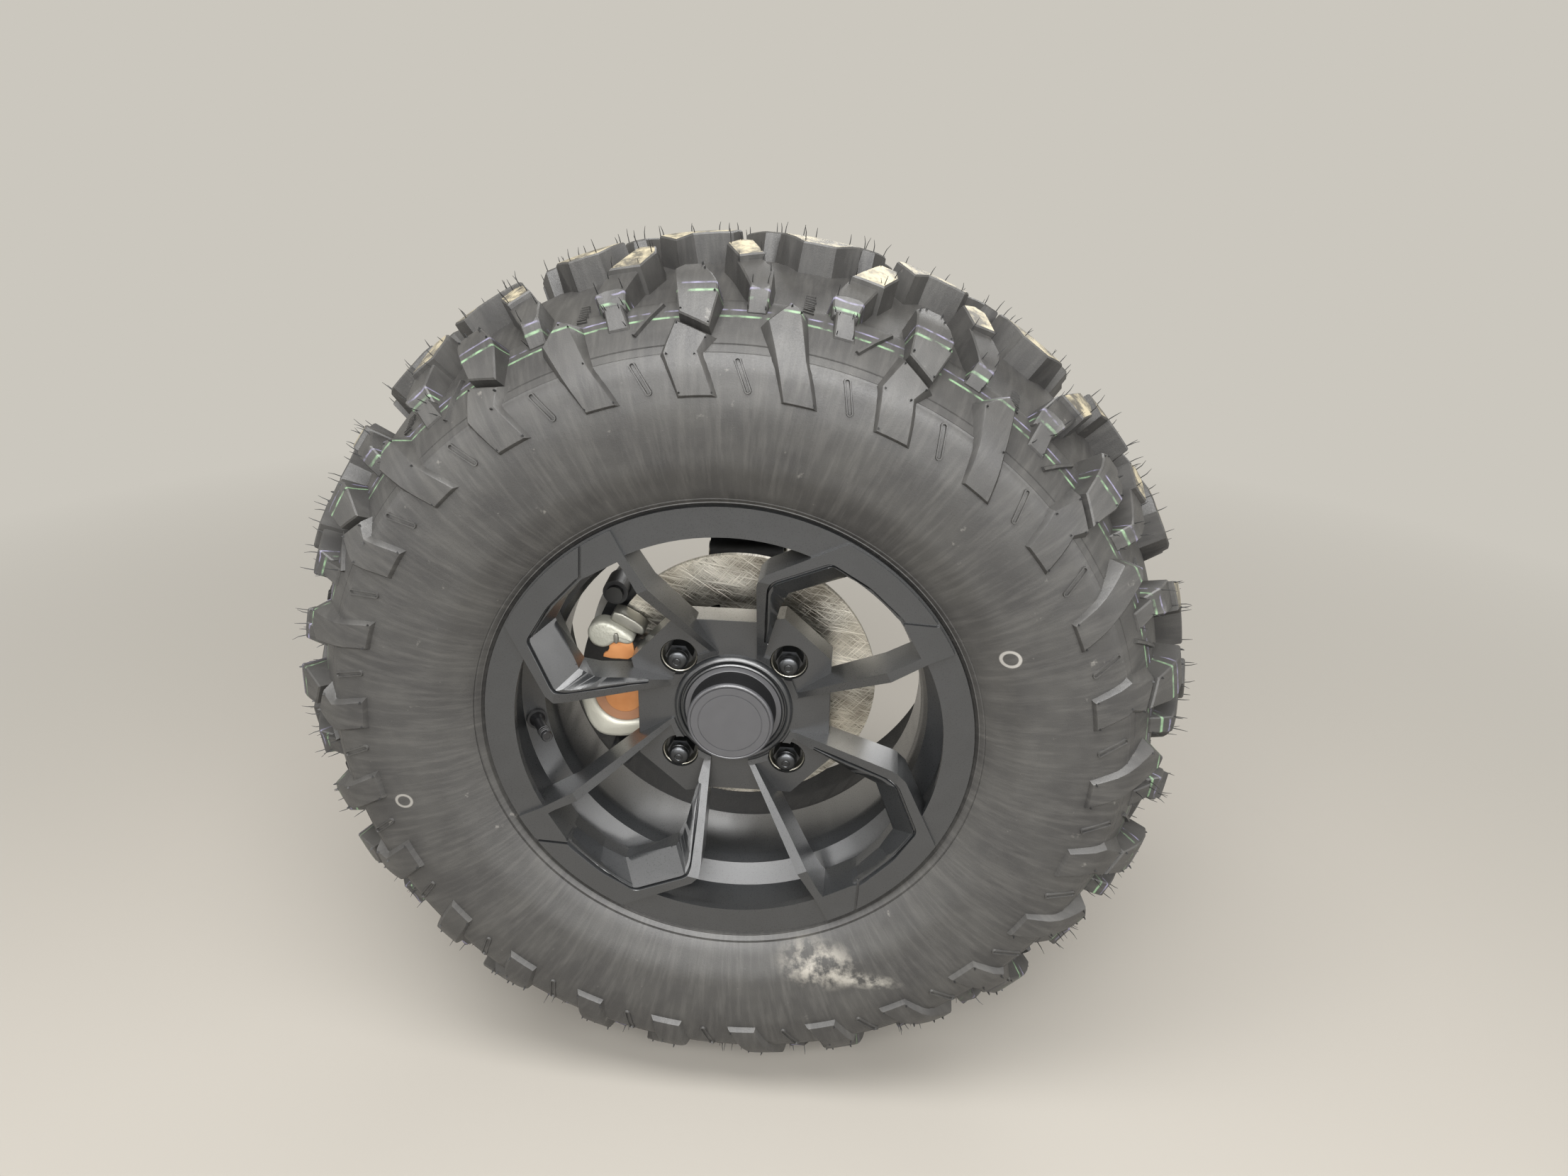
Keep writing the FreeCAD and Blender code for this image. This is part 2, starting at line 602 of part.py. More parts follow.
# Tyre: the pitches wrapped on the wheel, and closed by the sidewalls and the cavity
wall_section = (
    (rise(0.197), spread(0.947)), (rise(0.04), spread(0.835)),
    (rise(0.04), f"{spread(0.835)} + sidewall_thick"), (rise(0.425), f"{spread(0.973)} + sidewall_thick"),
    (rise(0.704), f"{spread(0.75)} + 2.3 * sidewall_thick"),
    ("tyre_radius - tread_depth - tread_thick", spread(0.087)),
)
wall_points = [(size(radius), size(depth)) for radius, depth in mirrored(wall_section)]


def wall_rib(turn):
    """The corners of the sidewalls and the cavity at one turn of the wheel."""
    angle = radians(lug_turn + turn / 100 * pitch_turn)
    across = [FreeCAD.Vector(radius * cos(angle), depth, radius * sin(angle))
              for radius, depth in wall_points]
    return [on_tread(turn, seam[0][1], 1)] + across + [on_tread(turn, seam[-1][1], 1)]


faces = []
for number in range(int(size("pitch_count"))):
    for triangle in pitch_faces:
        corners = [on_tread(across / turn_mm + 100 * number, up / way_mm, drop)
                   for across, up, drop in triangle]
        faces.append(Part.Face(Part.makePolygon(corners + corners[:1])))
    for column in range(columns):
        here, there = [wall_rib(seam[0][0] + 100 * (number + (column + step) / columns))
                       for step in (0, 1)]
        for low in range(len(here) - 1):
            faces.append(Part.Face(Part.makePolygon([
                here[low], here[low + 1], there[low + 1], there[low], here[low]])))
tread = doc.addObject("Part::Feature", "tread")
tread.Shape = Part.makeSolid(Part.makeShell(faces))
tyre = joined("tyre_solid", [tread, outboard_bead, inboard_bead], refine=False)
finish(tyre, "tyre")

# Valve: rubber stem snapped into the rim, with its brass core end
wall_back = "barrel_wall + 0.4"
collar = valve_solid("valve_collar", "Part::Cylinder", "valve_base", "0.3", "3")
neck = valve_solid("valve_neck", "Part::Cylinder", "valve_hole - 0.2", f"0 - {wall_back} - 1",
                   "barrel_wall + 3")
stem = valve_solid("valve_taper", "Part::Cone", "valve_base - 2", "3.3", "6", "valve_stem_radius")
shank = valve_solid("valve_shank", "Part::Cylinder", "valve_stem_radius", "9.3", "valve_length - 16")
core_end = valve_solid("valve_core", "Part::Cylinder", "valve_stem_radius - 1.2", "valve_length - 6.7",
                       "6.7")
bulb = valve_solid("valve_bulb", "Part::Cone", "valve_base - 2.5", f"0 - {wall_back} - 7", "6.5",
                   "valve_base - 1")
finish(joined("valve", [collar, neck, stem, shank, core_end, bulb]), "valve_stem")

# Hub: snout, pilot, wheel flange, neck, disc flange and bearing journal
hub = new_body("wheel_hub")
flange_back = "mount_face + flange_thick"
carrier_face = "disc_face - carrier_thick"
turned(hub, "hub_turning", (
    ("axle_radius + running_gap", "snout_end"), ("snout_radius", "snout_end"),
    ("snout_radius", "mount_face - pilot_length"), ("pilot_radius", "mount_face - pilot_length"),
    ("pilot_radius", "mount_face"), ("flange_radius", "mount_face"),
    ("flange_radius", flange_back), ("neck_radius + 6", flange_back),
    ("neck_radius", f"{flange_back} + 4"), ("neck_radius", carrier_face),
    ("carrier_radius", carrier_face), ("carrier_radius", "disc_face"),
    ("tab_radius - fit_gap", "disc_face"), ("tab_radius - fit_gap", "disc_face + disc_thick"),
    ("shoulder_radius", "disc_face + disc_thick"), ("shoulder_radius", "bearing_start"),
    ("journal_radius", "bearing_start"), ("journal_radius", "bearing_start + bearing_width"),
    ("axle_radius + running_gap", "bearing_start + bearing_width"),
))
scallop = new_sketch(hub, "flange_scallop", "XZ_Plane", "mount_face - 1")
circle(scallop, "flange_radius + 16", "0", "30")
sunk_scallop = sunk(hub, "scallop", scallop, "flange_thick + 2")
ringed(hub, "scallops", [sunk_scallop], "stud_count")
hub_notch = new_sketch(hub, "carrier_notch", "XZ_Plane", f"{carrier_face} - 0.5")
circle(hub_notch, "(carrier_radius + 12) * cos(45)", "(carrier_radius + 12) * sin(45)", "26")
cut_notch = sunk(hub, "notch", hub_notch, "carrier_thick + 1")
ringed(hub, "notches", [cut_notch], "stud_count")
stud_sketch = new_sketch(hub, "stud_outline", "XZ_Plane", "stud_tip")
circle(stud_sketch, "pitch_radius * cos(45)", "pitch_radius * sin(45)", "stud_radius")
stud = raised(hub, "stud", stud_sketch, f"{flange_back} - stud_tip + 5")
ringed(hub, "studs", [stud], "stud_count")
for name, turn in (("front", 0), ("top", 90), ("rear", 180), ("bottom", 270)):
    bolt_sketch = new_sketch(hub, f"disc_hole_{name}", "XZ_Plane", f"{carrier_face} - 1")
    circle(bolt_sketch, f"disc_bolt_ring * cos({turn})", f"disc_bolt_ring * sin({turn})", "disc_bolt")
    sunk(hub, f"disc_bore_{name}", bolt_sketch, "carrier_thick + 2")
finish(hub, "wheel_hub")

# Wheel nuts: taper seat, hexagon and dome
nut_seat_depth = "hub_face + pocket_depth"
hexagon = [(f"nut_across / 2 / cos(30) * cos({60 * side})",
            f"nut_across / 2 / cos(30) * sin({60 * side})") for side in range(6)]
for number in range(int(size("stud_count"))):
    turn = 135 - 360 * number / size("stud_count")
    nut = new_body(f"lug_nut_{number + 1}")
    hex_sketch = new_sketch(nut, f"hexagon_{number + 1}", "XZ_Plane", f"{nut_seat_depth} - nut_hex")
    draw(hex_sketch, hexagon)
    raised(nut, f"hex_{number + 1}", hex_sketch, "nut_hex")
    turned(nut, f"dome_{number + 1}", (
        ("0", "nut_tip"), ("nut_across / 2 - 4", "nut_tip"),
        ("nut_across / 2 - 0.8", "nut_tip + 4"), ("nut_across / 2 - 0.8", f"{nut_seat_depth}"),
        ("stud_hole + nut_seat - 0.1", f"{nut_seat_depth}"),
        ("stud_hole + 0.2", f"{nut_seat_depth} + nut_seat - 0.3"),
        ("0", f"{nut_seat_depth} + nut_seat - 0.3"),
    ))
    grooved(nut, f"thread_{number + 1}", (
        ("0", "stud_tip - 2"), ("stud_radius", "stud_tip - 2"),
        ("stud_radius", "mount_face"), ("0", "mount_face"),
    ))
    finish(nut, f"lug_nut_{number + 1}", f"pitch_radius * cos({turn})", f"pitch_radius * sin({turn})")

# Brake disc: a ring with four tabs bolted on the hub
disc = new_body("brake_disc")
turned(disc, "disc_ring", (
    ("disc_inner", "disc_face"), ("disc_radius", "disc_face"),
    ("disc_radius", "disc_face + disc_thick"), ("disc_inner", "disc_face + disc_thick"),
))
tab_sketch = new_sketch(disc, "tab_outline", "XZ_Plane", "disc_face")
draw(tab_sketch, (
    ("0 - tab_width / 2", "tab_radius"), ("tab_width / 2", "tab_radius"),
    ("tab_width / 2 + 8", "disc_inner + 4"), ("0 - tab_width / 2 - 8", "disc_inner + 4"),
))
tab = raised(disc, "tab", tab_sketch, "disc_thick")
hole_sketch = new_sketch(disc, "tab_hole", "XZ_Plane", "disc_face - 1")
circle(hole_sketch, "0", "disc_bolt_ring", "disc_bolt")
tab_hole = sunk(disc, "hole", hole_sketch, "disc_thick + 2")
ringed(disc, "tabs", [tab, tab_hole], "stud_count")
finish(disc, "brake_disc")

# Stub axle: threaded end, shaft, and the bell of the drive joint with its ball tracks
axle = new_body("stub_axle")
bell_start = "bearing_start + bearing_width"
turned(axle, "axle_turning", (
    ("0", "axle_end"), ("axle_radius", "axle_end"), ("axle_radius", bell_start),
    ("journal_radius + 4", bell_start), ("journal_radius + 4", f"{bell_start} + 5"),
    ("bell_radius", f"{bell_start} + 14"), ("bell_radius", f"{bell_start} + bell_length"),
    ("bell_bore", f"{bell_start} + bell_length"), ("bell_bore", f"{bell_start} + bell_floor + 6"),
    ("bell_bore - 10", f"{bell_start} + bell_floor"), ("0", f"{bell_start} + bell_floor"),
))
track_sketch = new_sketch(axle, "track_outline", "XZ_Plane", f"{bell_start} + bell_floor + 6")
circle(track_sketch, "track_ring", "0", "track_radius")
track = sunk(axle, "track", track_sketch, "bell_length")
ringed(axle, "tracks", [track], "track_count")
finish(axle, "stub_axle")

# Axle nut: castellated, on the axle's thread against the hub's snout
nut = new_body("axle_nut")
nut_face = "snout_end - axle_nut_thick"
sketch = new_sketch(nut, "axle_nut_outline", "XZ_Plane", nut_face)
draw(sketch, [(f"axle_nut_across / 2 / cos(30) * cos({60 * side})",
               f"axle_nut_across / 2 / cos(30) * sin({60 * side})") for side in range(6)])
circle(sketch, "0", "0", "axle_radius + running_gap")
raised(nut, "axle_nut_hex", sketch, "axle_nut_thick")
slot_sketch = new_sketch(nut, "slot_outline", "XZ_Plane", f"{nut_face} - 1")
draw(slot_sketch, (("0 - 2", "5"), ("2", "5"), ("2", "axle_nut_across"), ("0 - 2", "axle_nut_across")))
slot = sunk(nut, "slot", slot_sketch, "6")
ringed(nut, "slots", [slot], "6")
finish(nut, "axle_nut")

# Wheel bearing: pressed in the knuckle, running on the hub's journal
bearing = new_body("wheel_bearing")
turned(bearing, "bearing_ring", (
    ("journal_radius + running_gap", "bearing_start + 0.5"), ("bearing_radius", "bearing_start + 0.5"),
    ("bearing_radius", "bearing_start + bearing_width - 0.5"),
    ("journal_radius + running_gap", "bearing_start + bearing_width - 0.5"),
))
for name, face in (("outer_seal", "bearing_start - 1"), ("inner_seal", "bearing_start + bearing_width - 2")):
    grooved(bearing, name, (
        ("journal_radius + 4", face), ("bearing_step", face), ("bearing_step", f"{face} + 3"),
        ("journal_radius + 4", f"{face} + 3"),
    ))
finish(bearing, "wheel_bearing")

# Knuckle: bearing housing, arm bosses on webs, and ears for the caliper
housing = spun("housing", (
    ("0", "bearing_start"), ("housing_radius", "bearing_start"),
    ("housing_radius", "bearing_start + bearing_width - 6"),
    ("housing_radius - 4", "bearing_start + bearing_width"),
    ("0", "bearing_start + bearing_width"),
))
parts = [housing]
for name, way in (("upper", "1"), ("lower", "0 - 1")):
    web = extruded(f"{name}_web", face_outline(f"{name}_web_outline", (
        ("0 - web_half_root", f"({way}) * (bearing_radius - 10)"),
        ("web_half_root", f"({way}) * (bearing_radius - 10)"),
        ("web_half_top", f"({way}) * bush_drop"), ("0 - web_half_top", f"({way}) * bush_drop"),
    ), "bush_plane - web_thick - 6"), "web_thick")
    parts.append(web)
    parts.append(cross_rod(f"{name}_boss", "boss_outer", "bush_length", "bush_plane",
                           f"({way}) * bush_drop"))
    for side, place in (("front", "web_half_top - 8"), ("rear", "0 - web_half_top")):
        parts.append(extruded(f"{name}_{side}_rib", face_outline(f"{name}_{side}_rib_outline", (
            (place, f"({way}) * (bearing_radius + 4)"), (f"{place} + 8", f"({way}) * (bearing_radius + 4)"),
            (f"{place} + 8", f"({way}) * bush_drop"), (place, f"({way}) * bush_drop"),
        ), "bearing_start + 8"), "bush_plane - bearing_start"))
parts.append(extruded("ears", face_outline("ears_outline", (
    ("0 - ear_reach - 10", "0 - ear_half_height - 10"), ("0 - ear_reach + 12", "0 - ear_half_height - 10"),
    ("0 - bearing_radius - 6", "0 - 26"), ("0 - bearing_radius - 6", "26"),
    ("0 - ear_reach + 12", "ear_half_height + 10"), ("0 - ear_reach - 10", "ear_half_height + 10"),
    ("0 - ear_reach - 10", "ear_half_height - 10"), ("0 - ear_root", "ear_half_height - 14"),
    ("0 - ear_root", "0 - ear_half_height + 14"), ("0 - ear_reach - 10", "0 - ear_half_height + 10"),
), "bearing_start"), "ear_thick"))
knuckle_solid = joined("knuckle_solid", parts, refine=False)
bore = rod("knuckle_bore", "bearing_radius", "bearing_start - 5", "bearing_width + 30")
knuckle_cuts = [bore]
for name, way in (("upper", "1"), ("lower", "0 - 1")):
    knuckle_cuts.append(cross_rod(f"{name}_bush_bore", "bush_radius", "bush_length + 10", "bush_plane",
                                  f"({way}) * bush_drop"))
    knuckle_cuts.append(rod(f"{name}_ear_bore", "ear_bolt", "bearing_start - 5", "40",
                            "0 - ear_reach", f"({way}) * ear_half_height"))
knuckle = removed("knuckle", knuckle_solid, joined("knuckle_cutter", knuckle_cuts))
finish(knuckle, "knuckle")

# Arm bushes: rubber ring and steel sleeve in each boss
for name, way in (("upper", "1"), ("lower", "0 - 1")):
    outer = cross_rod(f"{name}_rubber_outer", "bush_radius", "bush_length", "bush_plane",
                      f"({way}) * bush_drop")
    inner = cross_rod(f"{name}_rubber_inner", "sleeve_radius", "bush_length + 10", "bush_plane",
                      f"({way}) * bush_drop")
    finish(removed(f"{name}_bush", outer, inner), f"{name}_arm_bush")
    tube = cross_rod(f"{name}_tube_outer", "sleeve_radius", "sleeve_length", "bush_plane",
                     f"({way}) * bush_drop")
    hole = cross_rod(f"{name}_tube_bore", "sleeve_bore", "sleeve_length + 10", "bush_plane",
                     f"({way}) * bush_drop")
    finish(removed(f"{name}_sleeve", tube, hole), f"{name}_arm_sleeve")


# Brake: everything on the caliper is an arc about the wheel axis, centred at the rear
def arc_face(name, inner, outer, half_angle, start, length):
    """A plate between two radii, spread evenly about the rear of the disc."""
    middle_turn = 180
    plate_solid = doc.addObject("Part::Cylinder", name + "_outer")
    bind(plate_solid, "Radius", outer)
    bind(plate_solid, "Height", length)
    bind(plate_solid, "Angle", f"2 * ({half_angle})")
    turn = FreeCAD.Rotation(FreeCAD.Vector(0, 1, 0), -size(half_angle) - middle_turn)
    upright = FreeCAD.Rotation(FreeCAD.Vector(1, 0, 0), -90)
    plate_solid.Placement = FreeCAD.Placement(FreeCAD.Vector(0, 0, 0), turn.multiply(upright))
    bind(plate_solid, "Placement.Base.y", start)
    hollow = rod(name + "_inner", inner, f"({start}) - 5", f"({length}) + 10")
    return removed(name, plate_solid, hollow)


disc_back = "disc_face + disc_thick"
outer_pad_end = "disc_face - pad_gap"
outer_backing = f"{outer_pad_end} - lining_thick - backing_thick"
inner_pad_start = f"{disc_back} + pad_gap"
inner_backing = f"{inner_pad_start} + lining_thick"
for name, lining_start, backing_start in (
        ("outer", f"{outer_pad_end} - lining_thick", outer_backing),
        ("inner", inner_pad_start, inner_backing)):
    lining = arc_face(f"{name}_lining", "pad_inner", "pad_outer", "pad_half_angle - 1.5",
                      lining_start, "lining_thick")
    backing = arc_face(f"{name}_backing", "pad_inner - 2", "pad_outer + 3", "pad_half_angle",
                       backing_start, "backing_thick")
    finish(joined(f"{name}_pad", [lining, backing]), f"brake_pad_{name}")

finger_start = f"{outer_backing} - finger_thick"
housing_start = f"{inner_backing} + backing_thick"
finger_arc = arc_face("finger_arc", "pad_inner + 6", "bridge_outer", "finger_half_angle",
                      finger_start, "finger_thick")
notch = arc_face("finger_gap", "pad_inner - 5", "pad_outer - 8", "finger_notch",
                 f"{finger_start} - 2", "finger_thick + 4")
finger = removed("finger", finger_arc, notch)
bridge = arc_face("bridge", "bridge_inner", "bridge_outer", "caliper_half_angle",
                  finger_start, f"{housing_start} - ({finger_start}) + 12")
back_plate = arc_face("back_plate", "pad_inner", "bridge_outer", "caliper_half_angle",
                      housing_start, "12")
piston = rod("piston_case", "piston_housing", housing_start, "housing_depth", "0 - piston_ring", "0")
arm_start = "bearing_start + ear_thick + bolt_head_thick + 2"
arms = arc_face("pin_arms", "pin_ring - pin_head", "pin_ring + pin_head", "pin_angle + 4",
                arm_start, "pin_arm_thick")
arm_root = arc_face("arm_root", "piston_ring", "pin_ring", "caliper_half_angle", arm_start, "pin_arm_thick")
caliper_solid = joined("caliper_solid", [finger, bridge, back_plate, piston, arms, arm_root])
pin_tools = []
for name, way in (("upper", "1"), ("lower", "0 - 1")):
    pin_tools.append(rod(f"{name}_pin_tool", "pin_radius + 0.2", f"{arm_start} - 10", "60",
                         "0 - pin_ring * cos(pin_angle)", f"({way}) * pin_ring * sin(pin_angle)"))
finish(removed("caliper", caliper_solid, joined("pin_tool", pin_tools)), "caliper_body")

# Caliper bracket: bolts to the knuckle's ears, and its bosses reach over the disc's edge
bracket_start = "bearing_start - bracket_thick"
bracket_arc = arc_face("bracket_arc", "pad_inner - 18", "pin_ring", "pin_angle + 4.5",
                       bracket_start, "bracket_thick")
bracket_parts = [bracket_arc]
bracket_holes = [
    arc_face("pad_gap_tool", "pad_inner - 8", "bridge_outer + 20", "pad_half_angle + 2",
             f"{bracket_start} - 2", "bracket_thick + 4"),
]
for name, way in (("upper", "1"), ("lower", "0 - 1")):
    pin_place = ("0 - pin_ring * cos(pin_angle)", f"({way}) * pin_ring * sin(pin_angle)")
    bracket_parts.append(rod(f"{name}_pin_boss", "pin_boss", "pin_boss_start",
                             "bearing_start - pin_boss_start", *pin_place))
    bracket_holes.append(rod(f"{name}_pin_bore", "pin_radius", "pin_boss_start - 5", "60", *pin_place))
    bracket_holes.append(rod(f"{name}_bracket_hole", "ear_bolt", f"{bracket_start} - 5", "30",
                             "0 - ear_reach", f"({way}) * ear_half_height"))
bracket_solid = joined("bracket_solid", bracket_parts)
finish(removed("bracket", bracket_solid, joined("bracket_cutter", bracket_holes)), "caliper_bracket")

# Bolts and guide pins of the caliper
for name, way in (("upper", "1"), ("lower", "0 - 1")):
    bolt_place = ("0 - ear_reach", f"({way}) * ear_half_height")
    bolt_shaft = rod(f"{name}_bolt_shaft", "ear_bolt", bracket_start, "bracket_thick + ear_thick",
                     *bolt_place)
    bolt_head = rod(f"{name}_bolt_head", "bolt_head_radius", "bearing_start + ear_thick", "bolt_head_thick",
                    *bolt_place)
    finish(joined(f"{name}_bolt", [bolt_shaft, bolt_head]), f"bracket_bolt_{name}")
    pin_place = ("0 - pin_ring * cos(pin_angle)", f"({way}) * pin_ring * sin(pin_angle)")
    shaft = rod(f"{name}_pin_shaft", "pin_radius", "pin_boss_start",
                f"{arm_start} + pin_arm_thick + 4 - pin_boss_start", *pin_place)
    head = rod(f"{name}_pin_head", "pin_head", f"{arm_start} + pin_arm_thick + 0.3", "pin_head_thick",
               *pin_place)
    outer_head = rod(f"{name}_pin_outer_head", "pin_head", "pin_boss_start - pin_head_thick",
                     "pin_head_thick", *pin_place)
    finish(joined(f"{name}_pin", [shaft, head, outer_head]), f"guide_pin_{name}")

# Disc bolts: heads on the outboard side of the hub's rear flange
for number in range(int(size("stud_count"))):
    turn = 90 - 360 * number / size("stud_count")
    bolt = new_body(f"disc_bolt_{number + 1}")
    place = (f"disc_bolt_ring * cos({turn})", f"disc_bolt_ring * sin({turn})")
    for name, radius, start, length in (
            ("head", "disc_head_radius", f"{carrier_face} - disc_head_thick", "disc_head_thick"),
            ("shank", "disc_bolt", carrier_face, "carrier_thick + disc_thick")):
        sketch = new_sketch(bolt, f"disc_{name}_{number + 1}", "XZ_Plane", start)
        circle(sketch, *place, radius)
        raised(bolt, f"disc_{name}_pad_{number + 1}", sketch, length)
    finish(bolt, f"disc_bolt_{number + 1}")

# Every piece moves from the wheel's lip plane to the arm bolts' plane
doc.recompute()
for node in nodes:
    across, up = places[node.Label]
    bind(node, "Placement.Base.x", across)
    bind(node, "Placement.Base.y", "0 - bush_plane")
    bind(node, "Placement.Base.z", up)
doc.recompute()

problems = [thing.Name for thing in doc.Objects if {"Invalid", "Error"} & set(thing.State)]
for node in nodes:
    if node.Shape.isNull() or not node.Shape.isValid() or len(node.Shape.Solids) != 1:
        problems.append(f"{node.Label} has {len(node.Shape.Solids)} solids")
if problems:
    raise RuntimeError("pieces that failed: " + ", ".join(problems))

os.makedirs("parts", exist_ok=True)
for node in nodes:
    node.Shape.exportStep(f"parts/{node.Label}.step")
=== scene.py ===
import bpy
import bmesh
import json
import math
import random
from mathutils import Matrix, Vector
from mathutils.geometry import delaunay_2d_cdt


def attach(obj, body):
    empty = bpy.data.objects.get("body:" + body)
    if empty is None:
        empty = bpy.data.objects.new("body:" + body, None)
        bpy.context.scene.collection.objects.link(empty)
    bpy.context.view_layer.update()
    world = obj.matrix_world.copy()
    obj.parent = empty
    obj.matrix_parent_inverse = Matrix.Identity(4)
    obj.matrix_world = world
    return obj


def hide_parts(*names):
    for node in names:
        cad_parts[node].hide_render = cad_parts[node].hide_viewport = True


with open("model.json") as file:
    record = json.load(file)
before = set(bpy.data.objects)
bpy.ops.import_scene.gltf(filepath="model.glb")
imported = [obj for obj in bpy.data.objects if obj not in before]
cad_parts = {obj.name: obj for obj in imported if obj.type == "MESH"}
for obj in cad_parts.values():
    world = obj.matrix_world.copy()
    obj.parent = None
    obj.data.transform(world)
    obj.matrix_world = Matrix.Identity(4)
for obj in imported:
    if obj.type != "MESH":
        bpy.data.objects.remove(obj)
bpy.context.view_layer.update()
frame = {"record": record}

# Places are worked out on the wheel: radius and turn about its axis, and depth inboard
# from the plane of the rim's outer lip, all in mm and degrees. Turn grows from +X to +Z.
lipPlane = -150.0


def onWheel(radius, turn, depth):
    angle = math.radians(turn)
    return Vector((radius * math.cos(angle), depth + lipPlane, radius * math.sin(angle))) / 1000


def ramp(value, knots):  # reads a table of (value, result) in straight lines
    for (low, first), (high, second) in zip(knots, knots[1:]):
        if value <= high:
            return first + (second - first) * max(0, value - low) / (high - low)
    return knots[-1][1]


def linear(code):  # a hex colour as sRGB, turned to the linear values that Blender takes
    parts = [int(code[place:place + 2], 16) / 255 for place in (1, 3, 5)]
    return tuple(part / 12.92 if part <= 0.04045 else ((part + 0.055) / 1.055) ** 2.4
                 for part in parts) + (1,)


def setNode(tree, node, settings):  # each setting is a link, a field or a constant input
    for field, value in settings.items():
        if isinstance(value, bpy.types.NodeSocket):
            tree.links.new(value, node.inputs[field])
        elif isinstance(field, str) and hasattr(node, field):
            setattr(node, field, value)
        else:
            node.inputs[field].default_value = value


def addNode(tree, kind, settings, out=0):
    node = tree.nodes.new("ShaderNode" + kind)
    setNode(tree, node, settings)
    return node.outputs[out]


def startMaterial(name):
    material = bpy.data.materials.new(name)
    material.use_nodes = True
    tree = material.node_tree
    return material, tree, tree.nodes["Principled BSDF"], addNode(tree, "TexCoord", {}, "Object")


# A finish whose colour drifts slowly and whose dullness and bump follow one grain. The grain's
# size and depth are in mm, and castings' grains are about twice the real size, so that they show.
def plainFinish(name, low, high, roughness, metallic, grain, depth, constants=None):
    material, tree, shader, coords = startMaterial(name)
    fine = addNode(tree, "TexNoise", {"Vector": coords, "Scale": 1000 / grain, "Detail": 3})
    broad = addNode(tree, "TexNoise", {"Vector": coords, "Scale": 1000 / (grain * 18), "Detail": 2})
    setNode(tree, shader, {
        "Base Color": addNode(tree, "Mix", {
            "data_type": "RGBA", 0: broad, 6: linear(low), 7: linear(high)}, 2),
        "Roughness": addNode(tree, "MapRange", {
            "Value": fine, "From Min": 0.3, "From Max": 0.7,
            "To Min": roughness - 0.08, "To Max": roughness + 0.08}),
        "Normal": addNode(tree, "Bump", {"Height": fine, "Distance": depth / 1000}),
        "Metallic": metallic, **(constants or {})})
    return material


plain = {
    # lacquered casting: near black, with a broad soft sheen from the clear coat
    "black_rim": ("satinBlackCastAluminium", "#191a1b", "#202122", 0.32, 0.0, 0.9, 0.02,
                  {"Coat Weight": 0.8, "Coat Roughness": 0.34}),
    # painted shade: a near-black colour for the deep inside of the barrel and for the cap's side wall
    "barrel_shade": ("paintedBarrelShade", "#0b0b0c", "#121213", 0.62, 0.0, 1.2, 0.03,
                     {"Specular IOR Level": 0.2}),
    # moulded ABS: grey bloom on the flat, crisp glint on the edge bead
    "cap_plastic": ("mouldedBlackAbs", "#333335", "#39393b", 0.42, 0.0, 0.5, 0.01,
                    {"Coat Weight": 0.5, "Coat Roughness": 0.22}),
    "valve_rubber": ("mouldedValveRubber", "#0f0f10", "#161617", 0.42, 0.0, 0.6, 0.02),  # shiny black
    "nut_steel": ("blackPlatedSteel", "#3a3b3d", "#4a4b4c", 0.36, 1.0, 0.8, 0.01),  # a dimmed mirror
    "hub_iron": ("paintedHubIron", "#1b1b1c", "#262627", 0.5, 0.0, 1.4, 0.08),  # pitted under paint
    "bolt_steel": ("darkZincSteel", "#5a5a5c", "#6c6c6e", 0.4, 1.0, 0.8, 0.01),  # dull metal grey
    "axle_steel": ("machinedAxleSteel", "#85858a", "#939397", 0.36, 1.0, 0.8, 0.01),  # clean turned grey
    "knuckle_iron": ("paintedKnuckleIron", "#161617", "#202021", 0.5, 0.0, 1.6, 0.1),  # sandy under paint
    "bearing_steel": ("groundBearingSteel", "#909094", "#a0a0a3", 0.3, 1.0, 0.6, 0.01),  # bright, even
    "bush_rubber": ("mouldedBushRubber", "#151515", "#1c1c1c", 0.65, 0.0, 0.8, 0.03),  # dry flat black
    "sleeve_steel": ("zincPlatedSleeve", "#a7a59c", "#b8b5a8", 0.34, 1.0, 0.8, 0.01),  # warm and bright
    "bracket_iron": ("paintedBracketIron", "#131314", "#1b1b1c", 0.45, 0.0, 1.4, 0.08),  # glossy black
    "pad_copper": ("copperColouredBacking", "#a8673a", "#c58452", 0.42, 0.8, 1.0, 0.04),  # orange glow
    "pin_steel": ("shadeDarkenedPinSteel", "#3c3c3d", "#4c4c4b", 0.36, 1.0, 0.8, 0.01),  # dark grey steel: painted shade of the recess round the pin head
}
finishes = {slot: plainFinish(*row) for slot, row in plain.items()}

# Brake disc: steel ground both ways, so fine scratches cross, and grey clouds of painted reflection lighten
# and darken it.
# Real scratches are hairlines; these are drawn 0.7 to 1.6 mm wide to show at this distance.
disc = {"scratches": ((34, 0.7, 34), (-48, 0.9, 26), (8, 1.6, 50)),  # lean, width and length in mm
        "cloud": 55, "dark": "#6f6a60", "light": "#f4efe2"}  # the clouds' size in mm
finishes["disc_steel"], tree, shader, coords = startMaterial("crossGroundDiscSteel")
crossed = None
for lean, wide, long in disc["scratches"]:
    laid = addNode(tree, "Mapping", {
        "vector_type": "TEXTURE", "Rotation": (0, math.radians(lean), 0),
        "Scale": (long / 1000, 0.05, wide / 1000), "Vector": coords})
    streak = addNode(tree, "TexNoise", {"Vector": laid, "Scale": 1.0, "Detail": 2.5, "Roughness": 0.6})
    crossed = addNode(tree, "Math", {"operation": "MAXIMUM", 0: crossed, 1: streak}) if crossed else streak
cloud = addNode(tree, "TexNoise", {"Vector": coords, "Scale": 1000 / disc["cloud"], "Detail": 2.0})
